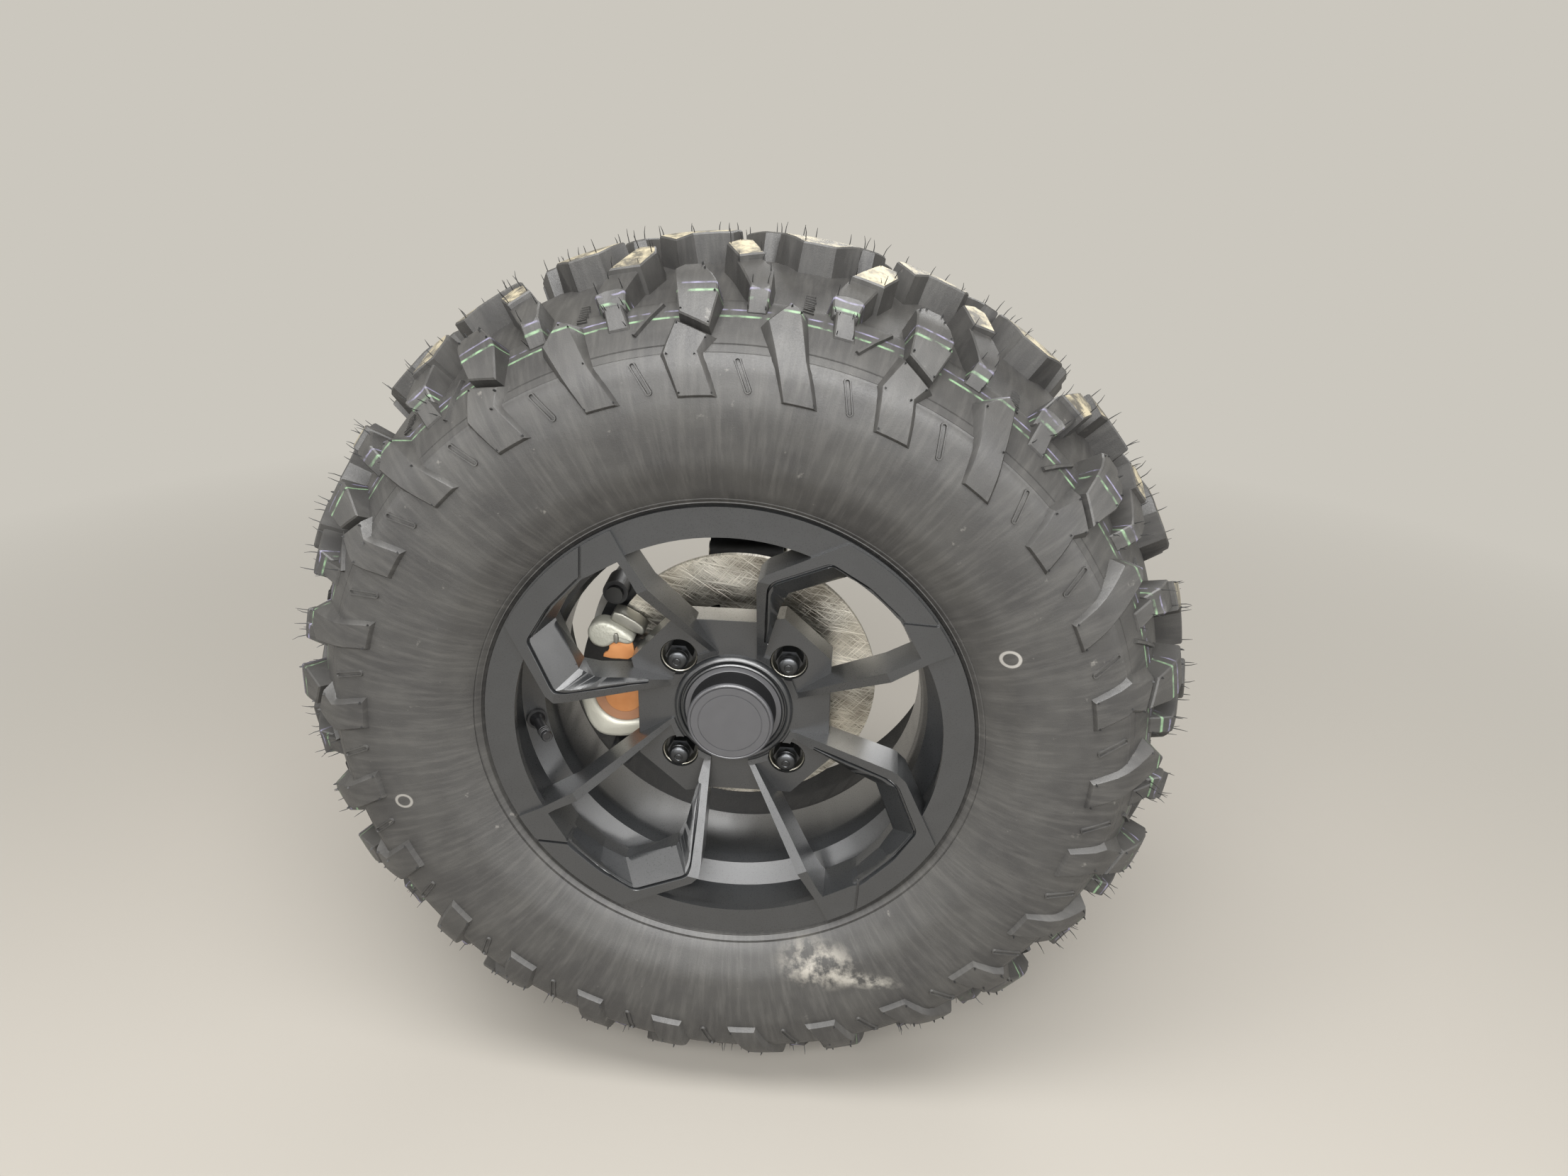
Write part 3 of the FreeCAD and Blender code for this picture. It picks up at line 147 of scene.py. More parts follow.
scratched = addNode(tree, "MapRange", {
    "Value": crossed, "From Min": 0.45, "From Max": 0.75, "To Min": 0.0, "To Max": 0.75})
# painted reflection: broad blotches, lighter and darker, in the steel's colour
paintedReflection = addNode(tree, "MapRange", {
    "Value": cloud, "From Min": 0.35, "From Max": 0.65, "To Min": -0.25, "To Max": 0.35})
tone = addNode(tree, "Math", {"operation": "ADD", 0: scratched, 1: paintedReflection})
setNode(tree, shader, {
    "Base Color": addNode(tree, "Mix", {
        "data_type": "RGBA", 0: tone, 6: linear(disc["dark"]), 7: linear(disc["light"])}, 2),
    "Roughness": addNode(tree, "MapRange", {
        "Value": crossed, "From Min": 0.4, "From Max": 0.75, "To Min": 0.26, "To Max": 0.42}),
    "Normal": addNode(tree, "Bump", {"Height": crossed, "Distance": 0.0003}), "Metallic": 1.0})

# Caliper: sand cast aluminium, grey and grainy, with near-black painted shade on its outboard face
caliper = {"grain": 1.6, "bare": ("#aeaca6", "#c6c4be"), "dustAndShade": ("#121212", "#232221"),
           "shadeEnds": (-0.0635, -0.0615)}  # places on the axle's line in m
finishes["caliper_aluminium"], tree, shader, coords = startMaterial("castAluminiumPaintedShade")
grain = addNode(tree, "TexNoise", {"Vector": coords, "Scale": 1000 / caliper["grain"], "Detail": 3})
bare, dustAndShade = [addNode(tree, "Mix", {
    "data_type": "RGBA", 0: grain, 6: linear(low), 7: linear(high)}, 2)
    for low, high in (caliper["bare"], caliper["dustAndShade"])]
# painted shade: the colour turns near-black towards the outboard face
outboard = addNode(tree, "MapRange", {
    "Value": addNode(tree, "SeparateXYZ", {"Vector": coords}, 1),
    "From Min": caliper["shadeEnds"][0], "From Max": caliper["shadeEnds"][1], "To Min": 1.0, "To Max": 0.0})
setNode(tree, shader, {
    "Base Color": addNode(tree, "Mix", {"data_type": "RGBA", 0: outboard, 6: bare, 7: dustAndShade}, 2),
    "Normal": addNode(tree, "Bump", {"Height": grain, "Distance": 0.0002}),
    "Metallic": 0.4, "Roughness": 0.52})

rubber = {
    "film": "#5d5b57",  # grey film that the mould's flow leaves in streaks round the casing
    "streaks": (58.0, 22.0),  # to a radian, and to a metre across
    "stripes": ((163.0, 0.9, "#7e7993"), (157.0, 1.2, "#7c9c77")),  # factory lines: way, half width, colour
    "stripeMost": 0.58,
    # chalk rings and a wax smear on the outer side: x, z, half width and half height in mm
    "marks": (("ring", 207.6, 91.1, 8.0, 7.2, "#94918b"), ("ring", -255.1, -63.7, 7.2, 6.4, "#827f79"),
              ("smear", 80.0, -206.0, 40.0, 24.0, "#989389"), ("smear", 118.0, -214.0, 34.0, 9.0, "#8f8b82")),
    "chalkMost": 0.6, "waxMost": 0.6,
}


# Moulded tyre rubber: deep grey with a soft sheen, rubbed film, pale scuffs and worn paint lines.
# Its grain is 0.9 mm where the mould's own is finer, so that it shows.
def rubberFinish(name, low, high, dustAndShade, dustFrom, dustTo, dustMost):
    material, tree, shader, coords = startMaterial(name)
    place = addNode(tree, "SeparateXYZ", {"Vector": coords}).node.outputs
    flat = addNode(tree, "VectorMath", {"operation": "MULTIPLY", 0: coords, 1: (1, 0, 1)})
    radius = addNode(tree, "VectorMath", {"operation": "LENGTH", 0: flat}, "Value")
    turn = addNode(tree, "Math", {"operation": "ARCTAN2", 0: place[2], 1: place[0]})
    around, across = rubber["streaks"]
    laid = addNode(tree, "CombineXYZ", {
        0: addNode(tree, "Math", {"operation": "MULTIPLY", 0: turn, 1: around}),
        1: addNode(tree, "Math", {"operation": "MULTIPLY", 0: radius, 1: across}),
        2: addNode(tree, "Math", {"operation": "MULTIPLY", 0: place[1], 1: across})})
    grain, cloud, flow, patch, wear, wax = [addNode(tree, "TexNoise", {
        "Vector": source, "Scale": scale, "Detail": detail, "Roughness": rough})
        for source, scale, detail, rough in (
            (coords, 1000 / 0.9, 2.0, 0.5), (coords, 1000 / 42, 3.0, 0.6), (laid, 1.0, 3.0, 0.65),
            (coords, 1000 / 16, 4.0, 0.7), (coords, 1000 / 9, 3.0, 0.5), (coords, 1000 / 13, 4.0, 0.65))]
    clouded, filmed, scuffed, worn, waxed, outer, dull = [addNode(tree, "MapRange", {
        "Value": source, "From Min": fromLow, "From Max": fromHigh, "To Min": toLow, "To Max": toHigh})
        for source, fromLow, fromHigh, toLow, toHigh in (
            (cloud, 0.35, 0.65, 0.0, 1.0), (flow, 0.45, 0.8, 0.0, 0.22),
            (patch, dustFrom, dustTo, 0.0, dustMost), (wear, 0.38, 0.62, 0.0, 1.0),
            (wax, 0.42, 0.62, 0.0, 1.0), (place[1], -0.14, -0.13, 1.0, 0.0), (grain, 0.3, 0.7, 0.46, 0.6))]
    colour = linear(low)
    layers = [(clouded, high), (filmed, rubber["film"]), (scuffed, dustAndShade)]
    way = addNode(tree, "Attribute", {"attribute_name": "paintWay"}, "Fac")
    for middle, wide, paint in rubber["stripes"]:
        off = addNode(tree, "Math", {"operation": "SUBTRACT", 0: way, 1: middle})
        line = addNode(tree, "MapRange", {
            "Value": addNode(tree, "Math", {"operation": "ABSOLUTE", 0: off}),
            "From Min": wide * 0.4, "From Max": wide, "To Min": rubber["stripeMost"], "To Max": 0.0})
        layers.append((addNode(tree, "Math", {"operation": "MULTIPLY", 0: line, 1: worn}), paint))
    for kind, x, z, wide, tall, paint in rubber["marks"]:
        laid = addNode(tree, "Mapping", {
            "vector_type": "TEXTURE", "Location": (x / 1000, 0, z / 1000),
            "Scale": (wide / 1000, 10, tall / 1000), "Vector": coords})
        away = addNode(tree, "VectorMath", {"operation": "LENGTH", 0: laid}, "Value")
        if kind == "ring":
            off = addNode(tree, "Math", {"operation": "SUBTRACT", 0: away, 1: 0.85})
            line = addNode(tree, "MapRange", {
                "Value": addNode(tree, "Math", {"operation": "ABSOLUTE", 0: off}),
                "From Min": 0.1, "From Max": 0.2, "To Min": rubber["chalkMost"], "To Max": 0.0})
        else:
            faded = addNode(tree, "MapRange", {
                "Value": away, "From Min": 0.3, "From Max": 1.0, "To Min": rubber["waxMost"], "To Max": 0.0})
            line = addNode(tree, "Math", {"operation": "MULTIPLY", 0: faded, 1: waxed})
        layers.append((addNode(tree, "Math", {"operation": "MULTIPLY", 0: line, 1: outer}), paint))
    for share, paint in layers:
        colour = addNode(tree, "Mix", {"data_type": "RGBA", 0: share, 6: colour, 7: linear(paint)}, 2)
    height = addNode(tree, "Math", {
        "operation": "ADD", 0: addNode(tree, "Math", {"operation": "MULTIPLY", 0: grain, 1: 0.25}),
        1: addNode(tree, "Math", {"operation": "MULTIPLY", 0: patch, 1: 0.6})})
    setNode(tree, shader, {
        "Base Color": colour, "Roughness": dull,
        "Normal": addNode(tree, "Bump", {"Height": height, "Distance": 0.0003})})
    return material


finishes["tyre_rubber"] = rubberFinish("mouldedTyreRubber", "#262524", "#302f2d", "#7b7872", 0.68, 0.78, 0.45)
dustyRubber = rubberFinish("dustyTyreRubber", "#35322c", "#4c483f", "#a3997f", 0.42, 0.6, 0.75)
hairRubber = plainFinish("trimmedRubberHair", "#141414", "#1c1c1c", 0.6, 0.0, 0.8, 0.01)  # fine dark threads
slotOf = {part["node"]: part["material_slot"] for part in frame["record"]["subparts"]}
for node, slot in slotOf.items():
    piece = bpy.data.objects[node]
    piece.data.materials.clear()
    piece.data.materials.append(finishes[slot])
print("nodes finished:", len(slotOf))

# Each lug: its outline as (degrees from the side lug's foot, mm along the tips' line), its height
# below the tips along that line, the walls' draft, whether moulding dust lies on it, how far the
# paint lines shift on it, and whether its vents leave stubs rather than hairs.
tyre = {
    "pitches": 13, "footTurn": 66.15, "columns": 286, "rowStep": 3.2, "corner": 1.1, "middle": 106.5,
    "cell": 9, "rooted": 1.5, "wallCorner": 32,
    # radius and depth of the lugs' faces from the rim to the middle of the tread
    "tips": ((190, 5), (200, -6), (225, -18), (260, -24), (275, -25), (300, -21), (314, -11),
             (325, 0), (341, 15), (347, 22), (355, 46), (362, 76), (366, 106.5)),
    # how far the rubber between the lugs lies below them, by the way along that line
    "floorDrop": ((0, 0), (42, 0), (60, 0.8), (78, 2.5), (93, 4), (120, 5), (140, 9.5), (150, 12),
                  (160, 15), (180, 20.5), (200, 21.5), (240, 22), (300, 22)),
    "ringRows": (4.8, 6.0, 7.2, 10.4, 11.2, 12.0, 122.6, 124, 125.4, 131.0, 131.8, 132.6),
    "halfLugs": (
        # side lug
        (((2.4, 93), (4.0, 123), (2.4, 147), (-1.7, 135), (-0.6, 123), (-2.6, 93)),
         ((0, 0), (300, 0)), 0.5, False, 0, True),
        # shoulder lug
        (((2.0, 152), (-1.7, 141), (-2.5, 165), (-2.3, 175), (-0.7, 194), (-0.2, 202), (2.0, 202),
          (2.9, 194)), ((0, 0), (185, 0), (202, -2.5)), 0.13, False, 11, True),
        # blade lug
        (((15.7, 93), (11.1, 93), (13.6, 124), (15.5, 160), (16.8, 164), (19.2, 148)),
         ((0, 0), (150, 0), (164, -1)), 0.4, False, 0, True),
        # front lug: ramp, step and top
        (((11.2, 151), (8.5, 151), (9.3, 170), (11.5, 170)),
         ((150, -11.2), (170, -8.5)), 0.2, False, 30, False),
        (((11.9, 168), (9.0, 168), (8.6, 180), (7.5, 203), (7.0, 210), (10.8, 210), (11.2, 203),
          (12.3, 180)), ((168, -13), (180, -4.5), (210, -4)), 0.13, False, 16, False),
        (((10.8, 206), (7.0, 203), (5.6, 224), (5.9, 236), (8.0, 239)),
         ((0, 0), (300, 0)), 0.13, True, 0, False),
        # rear lug: step and top
        (((22.0, 160), (19.6, 160), (19.4, 178), (19.5, 200), (21.0, 217), (23.9, 211), (21.8, 177)),
         ((160, -15), (177, -4), (217, -4)), 0.13, False, 12, False),
        (((25.4, 232), (24.0, 241), (22.5, 240), (20.9, 218), (23.7, 210)),
         ((0, 0), (300, 0)), 0.13, True, 0, False),
    ),
    "centreLugs": (
        (((19.3, 267), (17.0, 250), (13.2, 250), (10.5, 266), (11.35, 279.5), (15.95, 281),
          (17.65, 294), (19.95, 278)), ((0, 0), (600, 0)), 0.13, True, 60, False),
        (((6.1, 261), (3.8, 245), (2.1, 258), (-2.5, 259.5), (-3.3, 273), (-0.6, 289), (3.2, 289),
          (5.5, 272)), ((0, 0), (600, 0)), 0.13, True, 60, False),
    ),
    # low ribs on the rubber between the lugs: mm to a degree there, the bar, the capsules and the comb
    "ribScale": 5.4, "bar": ((7.9, 144), (6.2, 157), (4.5, 170)), "barSize": (4.2, 3.0),
    "capsule": ((6.5, 98, 1), (8.1, 118, -1)), "capsuleEnd": (0.38, 2), "capsuleTurns": (0, 14.1),
    "capsuleSize": (1.9, 1.6),
    "teeth": 9, "toothStep": 4, "toothSize": (1.7, 1.8),
    # what the mould's air vents leave
    "hairLength": (5.0, 11.0), "hairThick": 0.9, "stub": 1.8, "stubThick": 2.0, "ventInset": 3.2,
    "ventShare": 0.7, "bendMost": 0.35,
}


def smoothLine(knots, step=1.0, window=7):  # points one step apart along a line, its corners eased
    raw = []
    for (r0, y0), (r1, y1) in zip(knots, knots[1:]):
        length = math.hypot(r1 - r0, y1 - y0)
        for count in range(int(length / step)):
            share = count * step / length
            raw.append((r0 + (r1 - r0) * share, y0 + (y1 - y0) * share))
    raw.append(knots[-1])
    eased = []
    for place in range(len(raw)):
        reach = min(window, place, len(raw) - 1 - place)
        part = raw[place - reach:place + reach + 1]
        eased.append((sum(p[0] for p in part) / len(part), sum(p[1] for p in part) / len(part)))
    return eased


tipLine = smoothLine(tyre["tips"])
halfWay = len(tipLine) - 1  # mm from the bead to the middle of the tread


def overTyre(turn, along, height):  # height is above the lugs' faces
    inboard = along > halfWay
    near = min(max(2 * halfWay - along if inboard else along, 0), halfWay)
    low = min(int(near), halfWay - 1)
    share = near - low
    (r0, y0), (r1, y1) = tipLine[low], tipLine[low + 1]
    before, after = tipLine[max(low - 4, 0)], tipLine[min(low + 5, halfWay)]
    way = Vector((after[0] - before[0], after[1] - before[1])).normalized()
    radius = r0 + (r1 - r0) * share + way.y * height
    depth = y0 + (y1 - y0) * share - way.x * height
    return onWheel(radius, turn, 2 * tyre["middle"] - depth if inboard else depth)


def floorBelow(along):
    return ramp(2 * halfWay - along if along > halfWay else along, tyre["floorDrop"])


def stepOut(corners, amount):  # an anticlockwise outline with every side moved outward
    sides = []
    for here, there in zip(corners, corners[1:] + corners[:1]):
        way = (there - here).normalized()
        sides.append(Vector((way.y, -way.x)))
    moved = []
    for corner, before, after in zip(corners, sides[-1:] + sides[:-1], sides):
        moved.append(corner + (before + after) * (amount / max(0.35, 1 + before.dot(after))))
    return moved


def anticlockwise(corners):
    area = sum(a.x * b.y - b.x * a.y for a, b in zip(corners, corners[1:] + corners[:1]))
    return corners[::-1] if area < 0 else corners


class Skin:  # collects points, faces and what each carries, for one mesh

    def __init__(self):
        self.points, self.faces, self.finish, self.paint = [], [], [], []

    def add(self, points, faces, finish, paint):
        start = len(self.points)
        self.points += points
        self.paint += paint
        for face in faces:
            self.faces.append([start + corner for corner in face])
            self.finish.append(finish)

    def build(self, name, materials, sharp, group):
        mesh = bpy.data.meshes.new(name)
        mesh.from_pydata(self.points, [], self.faces)
        for material in materials:
            mesh.materials.append(material)
        mesh.polygons.foreach_set("material_index", self.finish)
        layer = mesh.attributes.new("paintWay", "FLOAT", "POINT")
        layer.data.foreach_set("value", self.paint)
        mesh.shade_smooth()
        mesh.set_sharp_from_angle(angle=math.radians(sharp))
        piece = bpy.data.objects.new(name, mesh)
        bpy.context.collection.objects.link(piece)
        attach(piece, group)
        return piece


# One moulded block: a top that follows the tyre, a rounded edge and drafted walls
def addLug(skin, outline, levels, draft, dusty, paintShift, turn, mirrored):
    if mirrored:
        outline = [(place, 2 * halfWay - along) for place, along in outline]
    middle = sum(along for place, along in outline) / len(outline)
    near = min(middle, 2 * halfWay - middle)
    scale = tipLine[int(min(near, halfWay))][0] * math.pi / 180
    corners = anticlockwise([Vector((place * scale, along)) for place, along in outline])
    inner = stepOut(corners, -tyre["corner"])

    def level(along):
        return ramp(2 * halfWay - along if mirrored else along, levels)

    spread = [corner + (out - corner) * max(0.5, floorBelow(corner.y) + level(corner.y)) * draft
              for corner, out in zip(corners, stepOut(corners, 1.0))]
    rings = ([], [], [])
    for number, corner in enumerate(corners):
        after = (number + 1) % len(corners)
        pieces = max(1, round((corners[after] - corner).length / tyre["cell"]))
        for cut in range(pieces):
            for ring, line in zip(rings, (inner, corners, spread)):
                ring.append(line[number].lerp(line[after], cut / pieces))
    count = len(rings[0])
    inside = []
    low = Vector((min(p.x for p in rings[0]), min(p.y for p in rings[0])))
    high = Vector((max(p.x for p in rings[0]), max(p.y for p in rings[0])))
    row = low.y + tyre["cell"] / 2
    while row < high.y:
        column = low.x + tyre["cell"] / 2
        while column < high.x:
            inside.append(Vector((column, row)))
            column += tyre["cell"]
        row += tyre["cell"]
    border = [(place, (place + 1) % count) for place in range(count)]
    flat = delaunay_2d_cdt(rings[0] + inside, border, [], 1, 0.01)
    top = [overTyre(turn + p.x / scale, p.y, level(p.y)) for p in flat[0]]
    skin.add(top, [list(face)[::-1] for face in flat[2]], 1 if dusty else 0,
             [(2 * halfWay - p.y if mirrored else p.y) - paintShift for p in flat[0]])
    walls, marks, quads = [], [], []
    for number, ring in enumerate(rings):
        for p in ring:
            height = (level(p.y), level(p.y) - tyre["corner"], -floorBelow(p.y) - tyre["rooted"])[number]
            walls.append(overTyre(turn + p.x / scale, p.y, height))
            marks.append((2 * halfWay - p.y if mirrored else p.y) - paintShift)
    for ring in (0, 1):
        for place in range(count):
            after = (place + 1) % count
            quads.append([(ring + 1) * count + place, (ring + 1) * count + after,
                          ring * count + after, ring * count + place])
    skin.add(walls, quads, 0, marks)


# A low rib along (degrees, mm) places on the rubber between the lugs
def addRidge(skin, path, turn, width, height, mirrored, closed=False):
    if mirrored:
        path = [(place, 2 * halfWay - along) for place, along in path]
    flat = [Vector((place * tyre["ribScale"], along)) for place, along in path]
    points = []
    for number, here in enumerate(flat):
        before = flat[number - 1] if number or closed else here
        after = flat[(number + 1) % len(flat)] if number + 1 < len(flat) or closed else here
        way = (after - before).normalized()
        side = Vector((-way.y, way.x)) * width / 2
        for offset, up in ((1, -0.4), (0.45, height), (-0.45, height), (-1, -0.4)):
            place = here + side * offset
            points.append(overTyre(turn + place.x / tyre["ribScale"], place.y, up - floorBelow(place.y)))
    quads = []
    for number in range(len(flat) if closed else len(flat) - 1):
        after = (number + 1) % len(flat)
        for strip in range(3):
            quads.append([number * 4 + strip, number * 4 + strip + 1, after * 4 + strip + 1,
                          after * 4 + strip])
    if not closed:
        quads += [[0, 1, 2, 3], [len(flat) * 4 - 1 - corner for corner in range(4)]]
    skin.add(points, quads, 0, [0.0] * len(points))


def addHair(skin, turn, along, base, length, thick, lean, bent):
    foot = overTyre(turn, along, base)
    end = overTyre(turn, along, base + length)
    way = (end - foot).normalized()
    side = way.orthogonal().normalized()
    across = way.cross(side)
    bend = (side * math.cos(lean) + across * math.sin(lean)) * bent * length / 1000
    points = []
    for share, size in ((0, 1), (0.55, 0.8), (1, 0.35)):
        middle = foot.lerp(end, share) + bend * share * share
        for corner in range(3):
            angle = math.radians(120 * corner)
            points.append(middle + (side * math.cos(angle) + across * math.sin(angle))
                          * thick * size / 2000)
    faces = [[row * 3 + corner, row * 3 + (corner + 1) % 3, row * 3 + 3 + (corner + 1) % 3,
              row * 3 + 3 + corner] for row in (0, 1) for corner in range(3)] + [[6, 7, 8]]
    skin.add(points, faces, 2, [0.0] * 9)


shuffle = random.Random(7)


def ventLug(skin, outline, levels, short, turn, mirrored):  # hairs or stubs near a face's corners
    if mirrored:
        outline = [(place, 2 * halfWay - along) for place, along in outline]
    middle = [sum(corner[part] for corner in outline) / len(outline) for part in (0, 1)]
    for place, along in outline:
        if shuffle.random() > tyre["ventShare"]:
            continue
        scale = tipLine[int(min(halfWay, along, 2 * halfWay - along))][0] * math.pi / 180
        way = Vector(((middle[0] - place) * scale, middle[1] - along))
        way = way.normalized() * min(way.length, tyre["ventInset"])
        place, along = place + way.x / scale, along + way.y
        level = ramp(2 * halfWay - along if mirrored else along, levels)
        if short:
            length, thick = tyre["stub"] * (0.6 + shuffle.random()), tyre["stubThick"]
        else:
            length, thick = shuffle.uniform(*tyre["hairLength"]), tyre["hairThick"]
        addHair(skin, turn + place, along, level - 0.3, length + 0.3, thick,
                shuffle.uniform(0, 6.28), shuffle.uniform(0, tyre["bendMost"]))


skin = Skin()
rows = {-8.0, -4.0, 2 * halfWay, 2 * halfWay + 4, 2 * halfWay + 8}
along = 0.0
while along < 2 * halfWay:
    rows.add(along)
    along += tyre["rowStep"]
for mark in tyre["ringRows"]:
    rows |= {mark, 2 * halfWay - mark}
rows = sorted(rows)
columns = tyre["columns"]
points, marks, quads = [], [], []
for along in rows:
    near = min(along, 2 * halfWay - along)
    height = -floorBelow(along) if near > 0 else 0
    if abs(near - 124) < 0.5 or abs(near - 6) < 0.3:  # a fine rib round the casing and by the rim
        height += 0.7
    if abs(near - 131.8) < 0.5 or abs(near - 11.2) < 0.3:  # and a fine groove beside each
        height -= 0.9
    for column in range(columns):
        turn = 360 * column / columns
        if near < 0:  # the bead tucks in behind the rim's lip
            radius, depth = (186.0, 11.5) if near < -5 else (189.5, 8.0)
            points.append(onWheel(radius, turn, 2 * tyre["middle"] - depth if along > halfWay else depth))
        else:
            points.append(overTyre(turn, along, height))
        marks.append(near)
for row in range(len(rows) - 1):
    for column in range(columns):
        after = (column + 1) % columns
        quads.append([row * columns + column, row * columns + after,
                      (row + 1) * columns + after, (row + 1) * columns + column])
skin.add(points, quads, 0, marks)
wide, tall = tyre["capsuleEnd"]
capsule = [(place + side * wide * math.cos(math.pi * step / 6),
            along - side * tall * math.sin(math.pi * step / 6))
           for place, along, side in tyre["capsule"] for step in range(7)]
for number in range(tyre["pitches"]):
    for mirrored in (False, True):
        turn = tyre["footTurn"] + (number + (0.5 if mirrored else 0)) * 360 / tyre["pitches"]
        for outline, levels, draft, dusty, shift, short in tyre["halfLugs"]:
            addLug(skin, outline, levels, draft, dusty, shift, turn, mirrored)
            ventLug(skin, outline, levels, short, turn, mirrored)
        addRidge(skin, tyre["bar"], turn, *tyre["barSize"], mirrored)
        for push in tyre["capsuleTurns"]:
            addRidge(skin, [(place + push, along) for place, along in capsule], turn,
                     *tyre["capsuleSize"], mirrored, True)
        for tooth in range(tyre["teeth"]):
            along = 168 + tyre["toothStep"] * tooth
            addRidge(skin, [(14.1 + 0.1 * (tooth % 3), along), (15.4, along + 1.5)], turn,
                     *tyre["toothSize"], mirrored)
    turn = tyre["footTurn"] + number * 360 / tyre["pitches"]
    for outline, levels, draft, dusty, shift, short in tyre["centreLugs"]:
        addLug(skin, outline, levels, draft, dusty, shift, turn, False)
        ventLug(skin, outline, levels, short, turn, False)
tyrePiece = skin.build("tyreTread", [finishes["tyre_rubber"], dustyRubber, hairRubber],
                       tyre["wallCorner"], "wheel_group")
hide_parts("tyre")
print("tyre moulded:", len(skin.faces), "faces")

# Rim, hub and the other castings: the solids' own forms with their edges rounded, widths in mm
castings = {"wheel_hub": 0.8, "knuckle": 1.6, "caliper_bracket": 1.0, "stub_axle": 0.8, "axle_nut": 0.6}
rim = {
    "rounding": 1.5, "padChamfer": 8.5, "padDepth": 46.5, "padReach": 74, "padWidth": 20,
    "shadeFrom": -0.052,  # m on the axle's line: inboard of it the barrel takes the near-black painted shade
    # the claws' faces by radius: flat near the lip, falling to the hub
    "faceDepth": ((55, 43.5), (137, -3), (300, -3)),
    "seam": {"start": (126.0, 108.6), "end": (162.0, 106.8), "wide": 2.2, "deep": 3.0},
    # the line round each claw's window: its outline at the face, and where its bevel ends
    "ledge": (((131.0, 107.0), (127.6, 104.2)), ((130.2, 110.2), (127.0, 106.0)),
              ((105.0, 134.0), (106.0, 124.0)), ((76.0, 152.0), (87.0, 134.0)),
              ((33.0, 134.5), (44.0, 118.0)), ((29.5, 127.0), (38.0, 106.0)),
              ((28.9, 118.0), (36.9, 101.5)), ((28.3, 110.0), (35.9, 97.5)), ((27.6, 100.0), (34.6, 92.0)),
              ((26.3, 81.0), (31.1, 78.0)), ((25.3, 67.0), (28.2, 66.0))),
    "ledgeCorner": 4.5,
    # across that line, inward from the outline: how far below the face it lies
    "ledgeSection": ((-1.0, -6), (-1.0, -0.2), (-0.2, 0.7), (0.0, 3.4), (1.7, 3.4), (1.9, 0.9),
                     (2.3, 0.3), (3.0, 0.1), (3.7, 0.4), (4.3, 1.5)),
    "windowFloor": 17.2,
}


def meshPiece(name, points, faces, materials=()):
    mesh = bpy.data.meshes.new(name)
    mesh.from_pydata(points, [], faces)
    for material in materials:
        mesh.materials.append(material)
    piece = bpy.data.objects.new(name, mesh)
    bpy.context.collection.objects.link(piece)
    return piece


def settle(piece):  # turns a piece's modifiers into its mesh
    graph = bpy.context.evaluated_depsgraph_get()
    mesh = bpy.data.meshes.new_from_object(piece.evaluated_get(graph))
    piece.modifiers.clear()
    piece.data = mesh


def padEnd(edge):  # whether an edge is the outer end of one of the centre plate's four pads
    first, last = [Vector((1000 * vert.co.x, 1000 * vert.co.z)) for vert in edge.verts]
    flat = all(abs(1000 * vert.co.y - lipPlane - rim["padDepth"]) < 0.3 for vert in edge.verts)
    out = max(abs((first.x + last.x) / 2), abs((first.y + last.y) / 2))
    return flat and out > rim["padReach"] and (last - first).length > rim["padWidth"]


def easedCopy(node, name, width, group, cutters=(), broad=None):
    source = bpy.data.objects[node]
    mesh = source.data.copy()
    work = bmesh.new()
    work.from_mesh(mesh)
    bmesh.ops.remove_doubles(work, verts=work.verts, dist=2e-6)
    bmesh.ops.dissolve_limit(work, angle_limit=math.radians(0.4), verts=work.verts, edges=work.edges)
    if broad:
        bmesh.ops.bevel(work, geom=[edge for edge in work.edges if broad(edge)],
                        offset=rim["padChamfer"] / 1000, segments=4, profile=0.6, affect="EDGES",
                        clamp_overlap=True)
    work.to_mesh(mesh)
    work.free()
    piece = bpy.data.objects.new(name, mesh)
    piece.matrix_world = source.matrix_world
    bpy.context.collection.objects.link(piece)
    bevel = piece.modifiers.new("roundedEdges", "BEVEL")
    bevel.width = width / 1000
    bevel.segments = 3
    bevel.limit_method = "ANGLE"
    bevel.angle_limit = math.radians(24)
    settle(piece)
    for cutter in cutters:  # after the rounding, so that fine grooves don't narrow it
        cut = piece.modifiers.new("grooves", "BOOLEAN")
        cut.operation = "DIFFERENCE"
        cut.object = cutter
        settle(piece)
        bpy.data.objects.remove(cutter)
    # faces deep in the barrel get the near-black painted shade
    if node == "rim":
        piece.data.materials.append(finishes["barrel_shade"])
        for polygon in piece.data.polygons:
            if polygon.center.y > rim["shadeFrom"]:
                polygon.material_index = len(piece.data.materials) - 1
    piece.data.shade_smooth()
    piece.data.set_sharp_from_angle(angle=math.radians(32))
    steady = piece.modifiers.new("steadyShading", "WEIGHTED_NORMAL")
    steady.keep_sharp = True
    settle(piece)
    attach(piece, group)
    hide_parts(node)
    return piece


def easedPath(pairs, reach):  # every corner swapped for a short arc of stations
    eased = [pairs[0]]
    for before, here, after in zip(pairs, pairs[1:], pairs[2:]):
        ends = []
        for other in (before, after):
            way = Vector(other[0]) - Vector(here[0])
            share = min(0.45, reach / way.length)
            ends.append([Vector(here[part]).lerp(Vector(other[part]), share) for part in (0, 1)])
        for step in range(5):
            share = step / 4
            eased.append([
                ends[0][part].lerp(Vector(here[part]), share).lerp(
                    Vector(here[part]).lerp(ends[1][part], share), share) for part in (0, 1)])
    eased.append(pairs[-1])
    return [(Vector(first), Vector(second)) for first, second in eased]


def onClaw(place, depth, claw):
    return onWheel(place.length, math.degrees(math.atan2(place.y, place.x)) + 90 * claw, depth)


